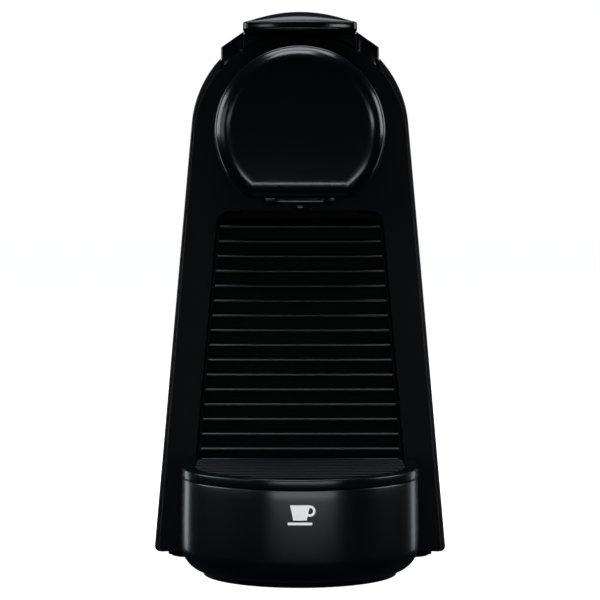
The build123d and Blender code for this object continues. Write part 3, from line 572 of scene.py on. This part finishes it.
def makeSpout():
    low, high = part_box("spout")
    outer, bore, tip = high.x, 0.0020, 0.0012
    profile = [(bore, high.z), (outer, high.z), (outer, low.z + tip)]
    turns = [radians(t) for t in range(15, 90, 15)]
    profile += [(outer - tip + tip * cos(t), low.z + tip - tip * sin(t)) for t in turns]
    profile += [(outer - tip, low.z), (bore + 0.0003, low.z), (bore, low.z + 0.0003)]
    bm = bmesh.new()
    lathe(bm, (0, (low.y + high.y) / 2), profile)
    spout = toPiece("spoutTip", bm, "glossBlack")
    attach(spout, "machine")
    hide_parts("spout")


makeSpout()

# ---- lever ----

roof = {"slope": (0.2013 - 0.1780) / 0.1795, "front": -0.0865}
lever = {
    "half": 0.0209, "wall": 0.0024, "tailWall": 0.0018, "skirt": 0.0030, "inner": 0.0175, "side": 0.0009,
    "pivot": (-0.025, 0.172), "tailTurn": 45, "noseRow": 4, "edge": 0.2005, "ridge": 0.2050,
    "stations": [(-0.1080, 0.2002, 0.2004), (-0.1077, 0.2003, 0.2009), (-0.1070, 0.2003, 0.20160),
                 (-0.1058, 0.2003, 0.20235), (-0.1020, 0.2004, 0.20350), (-0.0985, 0.20045, 0.20435),
                 (-0.0950, 0.2005, 0.20480), (-0.0800, 0.2005, 0.2050)],
    "noseRadius": 0.060, "noseEnd": -0.095,
    "armX": (0.0175, 0.0200), "boss": 0.0070, "axle": 0.00305,
    "arm": [(-0.064, 0.197), (-0.052, 0.187), (-0.032, 0.168), (-0.0184, 0.169),
            (-0.0176, 0.1818), (-0.0105, 0.1885), (-0.017, 0.1908), (-0.025, 0.192)],
}


def crownArc(half, edge, ridge, lowered, steps):
    sag = ridge - edge
    bend = (lever["half"] ** 2 + sag ** 2) / (2 * sag)
    return [(x, ridge - lowered - (bend - sqrt(bend ** 2 - x ** 2)))
            for x in (half - 2 * half * i / steps for i in range(steps + 1))]


def crownOutline(edge, ridge):   # right bottom, up, over the crown, down to the left bottom
    half, soft = lever["half"], lever["side"]
    top = crownArc(half - soft, edge, ridge, 0, 40)
    cornerZ = top[0][1] - soft
    right = [(half, edge - lever["skirt"]), (half, cornerZ - 0.0002)]
    turns = [radians(t) for t in range(0, 90, 15)]
    right += [(half - soft + soft * cos(t), cornerZ + soft * sin(t)) for t in turns]
    left = [(-x, z) for x, z in reversed(right)]
    return right + top + left


def crownInner(edge, ridge, wall):
    half, foot = lever["inner"], edge - lever["skirt"]
    return [(half, foot)] + crownArc(half, edge, ridge, wall, 24) + [(-half, foot)]


def noseSag(x, y):   # how far the front edge falls back from its middle
    full = lever["noseRadius"] - sqrt(lever["noseRadius"] ** 2 - x ** 2)
    front = lever["stations"][0][0]
    return full * max(0.0, min(1.0, (lever["noseEnd"] - y) / (lever["noseEnd"] - front)))


def leverRows():   # outer and inner line of each section, from the nose to the turned tail
    pivotY, pivotZ = lever["pivot"]
    stations = list(lever["stations"])
    last = stations[-1][0]
    fall = (pivotY - last) * roof["slope"]
    for i in range(1, 9):
        share = i / 8
        drop = fall * share
        stations.append((last + share * (pivotY - last), lever["edge"] - drop, lever["ridge"] - drop))
    rows = []
    for y, edge, ridge in stations:
        lines = (crownOutline(edge, ridge), crownInner(edge, ridge, lever["wall"]))
        rows.append([[(x, y + noseSag(x, y), z) for x, z in line] for line in lines])
    y, edge, ridge = stations[-1]
    for i in range(1, 13):
        t = radians(lever["tailTurn"] * i / 12)
        wall = lever["wall"] + (lever["tailWall"] - lever["wall"]) * min(1, i / 3)   # room for the open cage
        lines = (crownOutline(edge, ridge), crownInner(edge, ridge, wall))
        rows.append([[(x, pivotY + (z - pivotZ) * sin(t), pivotZ + (z - pivotZ) * cos(t)) for x, z in line]
                     for line in lines])
    return rows


def addLeverSkin(bm):
    rows, noseRow = leverRows(), lever["noseRow"]
    outer = [[bm.verts.new(p) for p in row[0]] for row in rows]
    inner = [[bm.verts.new(p) for p in row[1]] for row in rows[noseRow:]]
    for sheet in (outer, inner):
        for a, b in zip(sheet, sheet[1:]):
            for i in range(len(a) - 1):
                bm.faces.new((a[i], a[i + 1], b[i + 1], b[i]))
    bm.faces.new(outer[0])                      # front
    bm.faces.new(inner[0])                      # wall behind the nose
    for a, b in zip(outer[:noseRow], outer[1:noseRow]):
        bm.faces.new((a[0], b[0], b[-1], a[-1]))
    last, nose = outer[noseRow - 1], outer[noseRow]
    bm.faces.new((last[0], nose[0], inner[0][0], inner[0][-1], nose[-1], last[-1]))
    for k in range(len(inner) - 1):
        a, b = outer[noseRow + k], outer[noseRow + k + 1]
        for end in (0, -1):
            bm.faces.new((a[end], b[end], inner[k + 1][end], inner[k][end]))
    bm.faces.new(outer[-1] + list(reversed(inner[-1])))


def addLeverArm(bm, side):   # the flat arm and the round boss on its axle
    near, far = [side * x for x in lever["armX"]]
    made = [[bm.verts.new((x, y, z)) for y, z in lever["arm"]] for x in (near, far)]
    faces = [bm.faces.new(ring) for ring in made]
    count = len(lever["arm"])
    for i in range(count):
        j = (i + 1) % count
        faces.append(bm.faces.new((made[0][i], made[0][j], made[1][j], made[1][i])))
    bmesh.ops.recalc_face_normals(bm, faces=faces)
    rim = {line for face in faces[:2] for line in face.edges}
    bmesh.ops.bevel(bm, geom=list(rim), offset=0.0004, segments=2, affect="EDGES")
    pivotY, pivotZ = lever["pivot"]
    axle, boss = lever["axle"], lever["boss"]
    inside, soft = side * 0.0001, side * 0.0003
    rings = [[(x, pivotY + r * cos(radians(7.5 * i)), pivotZ + r * sin(radians(7.5 * i))) for i in range(48)]
             for x, r in ((near - inside, axle), (near - inside, boss - 0.0004), (near + soft, boss),
                          (far - soft, boss), (far, boss - 0.0003), (far, axle))]
    addRings(bm, rings, wrap=True)


def makeLever():
    bm = bmesh.new()
    addLeverSkin(bm)
    for side in (-1, 1):
        addLeverArm(bm, side)
    piece = toPiece("leverShell", bm, "satinBlack", 42)
    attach(piece, "lever")
    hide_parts("lever")


lipEdge = {"half": 0.0206, "proud": 0.00068, "end": 0.0012, "back": 0.0006, "sunk": 0.00002}


def makeLip():
    low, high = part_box("lever_lip")
    half, tall, middle = lipEdge["half"], (high.z - low.z) / 2, (high.z + low.z) / 2
    nose = lever["stations"][0][0]
    rings = []
    for i in range(81):
        x = -half + 2 * half * i / 80
        end = max(0.0, (abs(x) - (half - lipEdge["end"])) / lipEdge["end"])
        swell = sqrt(max(1 - end * end, 0.0))
        front = nose + noseSag(x, nose)
        ring = []
        for j in range(17):   # a nearly flat face with soft edges
            t = radians(180 * j / 16)
            flat = copysign(abs(cos(t)) ** 0.55, cos(t))
            y = front - lipEdge["proud"] * (sin(t) ** 0.35) * swell - lipEdge["sunk"]
            ring.append((x, y, middle + tall * (0.8 + 0.2 * swell) * flat))
        ring += [(x, front + lipEdge["back"], middle + tall * share) for share in (-0.8, 0.8)]
        rings.append(ring)
    lip = skin("leverLip", rings, "glossBlack", sharp=60, capFirst=True, capLast=True)
    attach(lip, "lever")
    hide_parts("lever_lip")


makeLever()
makeLip()
print("lever built")

# ---- button shoulders ----

shoulder = {
    "inX": 0.0211, "outX": 0.0297, "highZ": 0.1990, "edgeZ": 0.1930, "footZ": 0.1850, "soft": 0.0006,
    "front": -0.0840, "rear": -0.0300, "tailEnd": 0.0084, "slotX": (0.0226, 0.0286), "slotDepth": 0.0030,
    "slotY": (-0.0703, -0.0417), "webX": 0.0203, "webTop": 0.1961, "webRear": -0.0760, "lead": 0.0003,
}
button = {
    "xs": (0.0228, 0.0284), "ys": (-0.0700, -0.0420), "proud": 0.00035, "deep": 0.0022, "soft": 0.00035,
    "stemX": (0.0246, 0.0266), "stemHalf": 0.0015, "stemTop": 0.1885,
}


def roofDrop(y):
    return (y - roof["front"]) * roof["slope"]


def shoulderTop(x, inZ, outZ):
    return inZ + (x - shoulder["inX"]) / (shoulder["outX"] - shoulder["inX"]) * (outZ - inZ)


def shoulderRing(y, inZ, outZ, shrink, deep):
    inX, outX, soft = shoulder["inX"] + shrink, shoulder["outX"] - shrink, shoulder["soft"]
    slotIn, slotOut = shoulder["slotX"]

    def top(x):
        return shoulderTop(x, inZ, outZ) - shrink

    lead = shoulder["lead"]
    shallow = min(deep, lead)
    line = [(inX, shoulder["footZ"]), (outX, shoulder["footZ"]), (outX, top(outX) - soft)]
    line.append((outX - 0.15 * soft, top(outX) - 0.3 * soft))
    line.append((outX - 0.6 * soft, top(outX - 0.6 * soft) - 0.03 * soft))
    line += [(slotOut + lead, top(slotOut + lead))]
    line += [(slotOut, top(slotOut) - cut) for cut in (shallow, deep)]
    line += [(slotIn, top(slotIn) - cut) for cut in (deep, shallow)]
    line += [(slotIn - lead, top(slotIn - lead))]
    line += [(inX + 0.8 * soft, top(inX + 0.8 * soft)), (inX + 0.15 * soft, top(inX) - 0.35 * soft)]
    line.append((inX, top(inX) - soft))
    return [(x, y, z - roofDrop(y)) for x, z in line]


def makeShoulders():
    centre, radius = body["frontArch"]
    high, edge, soft = shoulder["highZ"], shoulder["edgeZ"], shoulder["soft"]
    start, stop = shoulder["slotY"]
    front, rear, deep, tiny = shoulder["front"], shoulder["rear"], shoulder["slotDepth"], 0.00002
    plan = [(y, high, edge, shrink, cut) for y, shrink, cut in (
        (front, soft, 0), (front + 0.3 * soft, 0.4 * soft, 0), (front + soft, 0, 0), (start, 0, 0),
        (start + tiny, 0, deep), (stop - tiny, 0, deep), (stop, 0, 0), (rear, 0, 0))]
    ends = [centre + sqrt(radius ** 2 - x ** 2) for x in (shoulder["inX"], shoulder["outX"])]
    for i in range(1, 13):
        share = i / 12
        y = rear + share * (shoulder["tailEnd"] - rear)
        plan.append((y, high + share * (ends[0] - high), edge + share * (ends[1] - edge), 0, 0))
    rings = [shoulderRing(*row) for row in plan]
    bm = bmesh.new()
    addRings(bm, rings, capFirst=True, capLast=True)
    addBox(bm, (shoulder["webX"], shoulder["inX"] + 0.0002), (front + 0.0003, shoulder["webRear"]),
           (shoulder["footZ"], shoulder["webTop"]), 0.0002)
    twin = bmesh.ops.duplicate(bm, geom=bm.verts[:] + bm.edges[:] + bm.faces[:])
    copied = [item for item in twin["geom"] if isinstance(item, bmesh.types.BMVert)]
    bmesh.ops.scale(bm, vec=(-1, 1, 1), verts=copied)
    piece = toPiece("buttonShoulders", bm, "glossBlack", 34)
    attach(piece, "machine")
    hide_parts("button_shoulders")


def makeButton(side):
    name = "right_button" if side > 0 else "left_button"
    bm = bmesh.new()
    corners = []
    for y in button["ys"]:
        near, far = button["xs"]
        tops = [shoulderTop(x, shoulder["highZ"], shoulder["edgeZ"]) + button["proud"] for x in (near, far)]
        foot = tops[1] - button["proud"] - button["deep"]
        outline = ((near, foot), (far, foot), (far, tops[1]), (near, tops[0]))
        corners += [(side * x, y, z - roofDrop(y)) for x, z in outline]
    addBar(bm, corners, button["soft"])
    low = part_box(name)[0]
    middle, half = (button["ys"][0] + button["ys"][1]) / 2, button["stemHalf"]
    stem = sorted(side * x for x in button["stemX"])
    addBox(bm, stem, (middle - half, middle + half), (low.z, button["stemTop"]), 0.0002)
    piece = toPiece("rightButton" if side > 0 else "leftButton", bm, "glossBlack", 34)
    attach(piece, name)
    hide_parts(name)


makeShoulders()
makeButton(1)
makeButton(-1)
print("shoulders and buttons built")

# ---- louvred panel ----

slats = {
    "count": 16, "pitch": 0.00559, "top": 0.1252, "thick": 0.0012, "deep": 0.0028, "nose": -0.0861,
    "back": -0.0832, "inset": 0.0009, "play": 0.0005, "rail": 0.0014, "bevel": 0.0002,
}


def addInput(tree, name, kind, value):
    socket = tree.interface.new_socket(name=name, in_out="INPUT", socket_type=kind)
    if value is not None:
        socket.default_value = value
    return socket


def startTree(name):
    tree = bpy.data.node_groups.new(name, "GeometryNodeTree")
    addInput(tree, "Base", "NodeSocketGeometry", None)
    tree.interface.new_socket(name="Result", in_out="OUTPUT", socket_type="NodeSocketGeometry")
    return tree


def addNode(tree, kind, **values):
    node = tree.nodes.new(kind)
    for name, value in values.items():
        setattr(node, name, value)
    return node


def runTree(piece, tree, values):   # inputs set by identifier, result kept as a plain mesh
    modifier = piece.modifiers.new("build", "NODES")
    modifier.node_group = tree
    for item in tree.interface.items_tree:
        if item.in_out == "INPUT" and item.name in values:
            modifier[item.identifier] = values[item.name]
    bpy.context.view_layer.update()
    mesh = evaluated(piece)
    piece.modifiers.remove(modifier)
    old = piece.data
    piece.data = mesh
    bpy.data.meshes.remove(old)
    return piece


def repeatTree(name):   # a unit repeated on the base points, each with its own width from an attribute
    tree = startTree(name)
    addInput(tree, "Unit", "NodeSocketObject", None)
    addInput(tree, "Finish", "NodeSocketMaterial", None)
    entry, leave = tree.nodes.new("NodeGroupInput"), tree.nodes.new("NodeGroupOutput")
    info = addNode(tree, "GeometryNodeObjectInfo")
    spread = addNode(tree, "GeometryNodeInstanceOnPoints")
    width = addNode(tree, "GeometryNodeInputNamedAttribute", data_type="FLOAT")
    width.inputs["Name"].default_value = "halfWidth"
    shape = addNode(tree, "ShaderNodeCombineXYZ")
    shape.inputs["Y"].default_value = 1.0
    shape.inputs["Z"].default_value = 1.0
    real = addNode(tree, "GeometryNodeRealizeInstances")
    paint = addNode(tree, "GeometryNodeSetMaterial")
    joinUp = tree.links.new
    joinUp(entry.outputs["Base"], spread.inputs["Points"])
    joinUp(entry.outputs["Unit"], info.inputs["Object"])
    joinUp(info.outputs["Geometry"], spread.inputs["Instance"])
    joinUp(width.outputs["Attribute"], shape.inputs["X"])
    joinUp(shape.outputs["Vector"], spread.inputs["Scale"])
    joinUp(spread.outputs["Instances"], real.inputs["Geometry"])
    joinUp(real.outputs["Geometry"], paint.inputs["Geometry"])
    joinUp(entry.outputs["Finish"], paint.inputs["Material"])
    joinUp(paint.outputs["Geometry"], leave.inputs["Result"])
    return tree


def unitObject(name, bm):
    return setDown(name, closeMesh(name, bm))


def rowOfPoints(name, places, widths):
    mesh = bpy.data.meshes.new(name)
    mesh.from_pydata(places, [], [])
    store = mesh.attributes.new("halfWidth", "FLOAT", "POINT")
    store.data.foreach_set("value", widths)
    return setDown(name, mesh)


def profileRings(profile):   # a (y, z) profile drawn out from x = -1 to x = 1
    return [[(x, y, z) for y, z in profile] for x in (-1.0, 1.0)]


def makeSlats():
    half, nose = slats["thick"] / 2, slats["deep"]
    profile = [(0.0, -half), (0.0, half)]
    profile += [(-nose + half - half * sin(radians(t)), half * cos(radians(t))) for t in range(0, 181, 15)]
    bm = bmesh.new()
    addRings(bm, profileRings(profile), capFirst=True, capLast=True)
    unit = unitObject("slatUnit", bm)
    places, widths = [], []
    for i in range(slats["count"]):
        z = slats["top"] - i * slats["pitch"]
        places.append((0, slats["nose"] + nose, z))
        widths.append(windowHalf(z, -slats["inset"]))
    row = rowOfPoints("slatFins", places, widths)
    fins = runTree(row, repeatTree("slatRow"), {"Unit": unit, "Finish": finish["slatBlack"]})
    bpy.data.objects.remove(unit)
    dress(fins.data, "slatBlack", 40)
    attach(fins, "tray")

    low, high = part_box("slat_panel")
    bm = bmesh.new()
    top, play = slats["top"] + slats["thick"] / 2, slats["play"]
    corners = [(side * windowHalf(z, -play), y, z) for y in (slats["back"], high.y)
               for side, z in ((-1, low.z), (1, low.z), (1, top), (-1, top))]
    addBar(bm, corners, slats["bevel"])
    for side in (-1, 1):   # the thin side rails that hold the slats
        corners = [(side * windowHalf(z, -inset), y, z) for y in (slats["nose"] - 0.0001, slats["back"])
                   for inset, z in ((slats["rail"], low.z), (play, low.z), (play, top), (slats["rail"], top))]
        addBar(bm, corners, 0.0001)
    backing = toPiece("slatBacking", bm, "innerBlack", 30)
    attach(backing, "tray")
    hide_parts("slat_panel")


makeSlats()
print("louvred panel built")

# ---- drip tray and grid ----

tray = {
    "radius": 0.0429, "centre": -0.1196, "back": -0.0871, "floor": 0.0012, "top": 0.0350, "foot": 0.0094,
    "wall": 0.0022, "lip": 0.00055, "crown": 0.00035, "waist": 0.0106, "corner": 0.0012,
    "wellHalf": 0.0380, "wellRear": -0.0220, "wellFloor": 0.0034, "wellInside": 0.0056,
    "step": 0.0120, "open": 0.060, "sillX": (-0.0364, 0.0364), "sillY": (-0.0856, -0.0820), "sillZ": 0.0240,
}


def noseRing(inset, z):   # round nose, straight flanks, square back
    r, back, corner = tray["radius"] - inset, tray["back"] - inset, tray["corner"]
    outline = arc((0, tray["centre"]), r, 180, 360, 96)
    outline += [(r, tray["centre"] + (back - corner - tray["centre"]) * i / 8) for i in range(1, 9)]
    outline += arc((r - corner, back - corner), corner, 0, 90, 5)[1:]
    outline += [(r - corner - 2 * (r - corner) * i / 12, back) for i in range(1, 12)]
    outline += arc((-r + corner, back - corner), corner, 90, 180, 5)
    outline += [(-r, back - corner + (tray["centre"] - back + corner) * i / 8) for i in range(1, 8)]
    return [(x, y, z) for x, y in outline]


def ringStack(profile, ring):
    return [ring(inset, z) for inset, z in profile]


def solidObject(name, rings):
    bm = bmesh.new()
    addRings(bm, rings, capFirst=True, capLast=True)
    return unitObject(name, bm)


def boxObject(name, xs, ys, zs, bevel):
    bm = bmesh.new()
    addBox(bm, xs, ys, zs, bevel)
    return unitObject(name, bm)


def carve(base, tools):   # unions and cuts, then one plain mesh
    for operation, tool in tools:
        step = base.modifiers.new("carve", "BOOLEAN")
        step.operation = operation
        step.solver = "EXACT"
        step.object = tool
    bpy.context.view_layer.update()
    mesh = evaluated(base)
    for thing in [base] + [tool for _, tool in tools]:
        bpy.data.objects.remove(thing)
    return mesh


def makeTray():
    foot, lip, top, edge = tray["foot"], tray["lip"], tray["top"], tray["crown"]
    wall, waist, step, sky = tray["wall"], tray["waist"], tray["step"], tray["open"]
    turns = [radians(t) for t in range(0, 91, 5)]
    profile = [(foot * (1 - sin(t)), tray["floor"] + foot * (1 - cos(t))) for t in turns]
    climb = top - lip - waist
    profile += [(edge * share ** 2, waist + share * climb) for share in (0.25, 0.5, 0.7, 0.85, 1.0)]
    turns = [radians(t) for t in (18, 36, 54, 72, 90)]
    profile += [(edge + lip * (1 - cos(t)), top - lip + lip * sin(t)) for t in turns]
    nose = solidObject("trayNose", ringStack(profile, noseRing))
    hollow = solidObject("trayHollow", ringStack([
        (foot, tray["floor"] + wall), (foot, step), (wall, step + 0.0005), (wall, sky)], noseRing))
    half, rear, back = tray["wellHalf"], tray["wellRear"], tray["back"]
    inner = (-half + wall, half - wall)
    well = boxObject("trayWell", (-half, half), (back - 0.012, rear), (tray["wellFloor"], top), 0.0008)
    inside = boxObject("trayInside", inner, (back - 0.0012, rear - wall), (tray["wellInside"], sky), 0.0004)
    bridge = boxObject("trayBridge", inner, (back - 0.010, -0.0835), (step, sky), 0.0)
    sill = boxObject("traySill", tray["sillX"], tray["sillY"], (tray["sillZ"], top), 0.0003)
    mesh = carve(nose, [("UNION", well), ("DIFFERENCE", hollow), ("DIFFERENCE", inside),
                        ("DIFFERENCE", bridge), ("UNION", sill)])
    piece = finishMesh("dripTray", mesh, "satinBlack", 30)
    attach(piece, "tray")
    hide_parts("drip_tray")


grid = {
    "bars": 12, "pitch": 0.0050, "first": -0.1520, "bar": 0.0024, "thick": 0.0035, "rim": 0.0052,
    "soft": 0.0006, "lean": 0.00018, "barSoft": 0.00015, "skirt": (0.0026, 0.0040), "ribs": (-0.019, 0.019),
}


def gridRim(low, top, foot):
    soft, lean = grid["soft"], grid["lean"]
    turns = [radians(t) for t in range(0, 91, 15)]
    profile = [(grid["rim"], foot), (0.00035, foot), (0.0001, foot + 0.0002), (0, foot + 0.0005)]
    profile += [(lean + soft * (1 - cos(t)), top - soft + soft * sin(t)) for t in turns]
    profile += [(grid["rim"] - 0.0002, top), (grid["rim"], top - 0.0002)]
    bm = bmesh.new()
    addRings(bm, ringStack(profile, noseRing), wrap=True)
    near, far = grid["skirt"]
    skirt = [(near, foot + 0.0002), (near, low), (far, low), (far, foot + 0.0002)]
    addRings(bm, ringStack(skirt, noseRing), wrap=True)
    return unitObject("gridRim", bm)


def gridBar(top, foot):   # one bar, its top at z = 0
    half, soft = grid["bar"] / 2, grid["barSoft"]
    near, far = [radians(t) for t in (30, 60, 90)], [radians(t) for t in (0, 30, 60, 90)]
    section = [(-half, foot), (half, foot), (half, top - soft)]
    section += [(half - soft + soft * cos(t), top - soft + soft * sin(t)) for t in near]
    section += [(-half + soft - soft * sin(t), top - soft + soft * cos(t)) for t in far]
    bm = bmesh.new()
    addRings(bm, profileRings([(y, z - top) for y, z in section]), capFirst=True, capLast=True)
    return unitObject("barUnit", bm)


def joinInto(base, extra):
    bm = bmesh.new()
    bm.from_mesh(base.data)
    bm.from_mesh(extra.data)
    bm.to_mesh(base.data)
    bm.free()
    bpy.data.objects.remove(extra)


def makeGrid():
    low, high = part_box("drip_grid")
    top = high.z
    foot = top - grid["thick"]
    rim = gridRim(low.z, top, foot)
    unit = gridBar(top, foot + 0.0004)
    places, widths = [], []
    for i in range(grid["bars"]):
        y = grid["first"] + i * grid["pitch"]
        off = max(0.0, tray["centre"] - y)
        places.append((0, y, top))
        widths.append(sqrt(max((tray["radius"] - grid["rim"] + 0.001) ** 2 - off ** 2, 0)))
    row = rowOfPoints("dripGrid", places, widths)
    bars = runTree(row, repeatTree("barRow"), {"Unit": unit, "Finish": finish["gridBlack"]})
    for x in grid["ribs"]:   # cross ribs under the bars
        cross = boxObject("cross", (x - 0.0008, x + 0.0008), (grid["first"] - 0.002, tray["back"] - 0.003),
                          (foot + 0.0002, top - 0.0012), 0.0002)
        joinInto(bars, cross)
    joinInto(bars, rim)
    bpy.data.objects.remove(unit)
    dress(bars.data, "gridBlack", 34)
    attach(bars, "grid")
    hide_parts("drip_grid")


makeTray()
makeGrid()
print("tray and grid built")

# ---- base screws ----

screws = {
    "head": 0.0030, "rise": 0.0006, "shank": 0.00135, "slot": 0.0016, "slotDepth": 0.0009, "waist": 0.72,
    "rows": ((-0.040, -0.005), (0.040, -0.005), (-0.040, 0.084), (0.040, 0.084)),
}


def makeScrews():
    low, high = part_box("base_screws")
    top, head, shank = low.z + screws["rise"], screws["head"], screws["shank"]
    profile = [(0.00001, high.z), (shank - 0.0003, high.z), (shank, high.z - 0.0004), (shank, top)]
    profile += [(head, top), (head, low.z + 0.0002), (head - 0.0003, low.z)]
    turns = [2 * pi * i / 36 for i in range(36)]
    rings = [[(r * cos(t), r * sin(t), z) for t in turns] for r, z in profile]
    lobes = [1.0 if i % 6 in (0, 1, 5) else screws["waist"] for i in range(36)]
    star = [screws["slot"] * lobe for lobe in lobes]
    rings += [[(r * cos(t), r * sin(t), z) for r, t in zip(star, turns)]
              for z in (low.z, low.z + screws["slotDepth"])]
    bm = bmesh.new()
    addRings(bm, rings, capFirst=True, capLast=True)
    unit = unitObject("screwUnit", bm)
    row = rowOfPoints("baseScrews", [(x, y, 0) for x, y in screws["rows"]], [1.0] * len(screws["rows"]))
    piece = runTree(row, repeatTree("screwRow"), {"Unit": unit, "Finish": finish["brushedSteel"]})
    bpy.data.objects.remove(unit)
    dress(piece.data, "brushedSteel", 34)
    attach(piece, "machine")
    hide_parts("base_screws")


makeScrews()
print("base screws built")
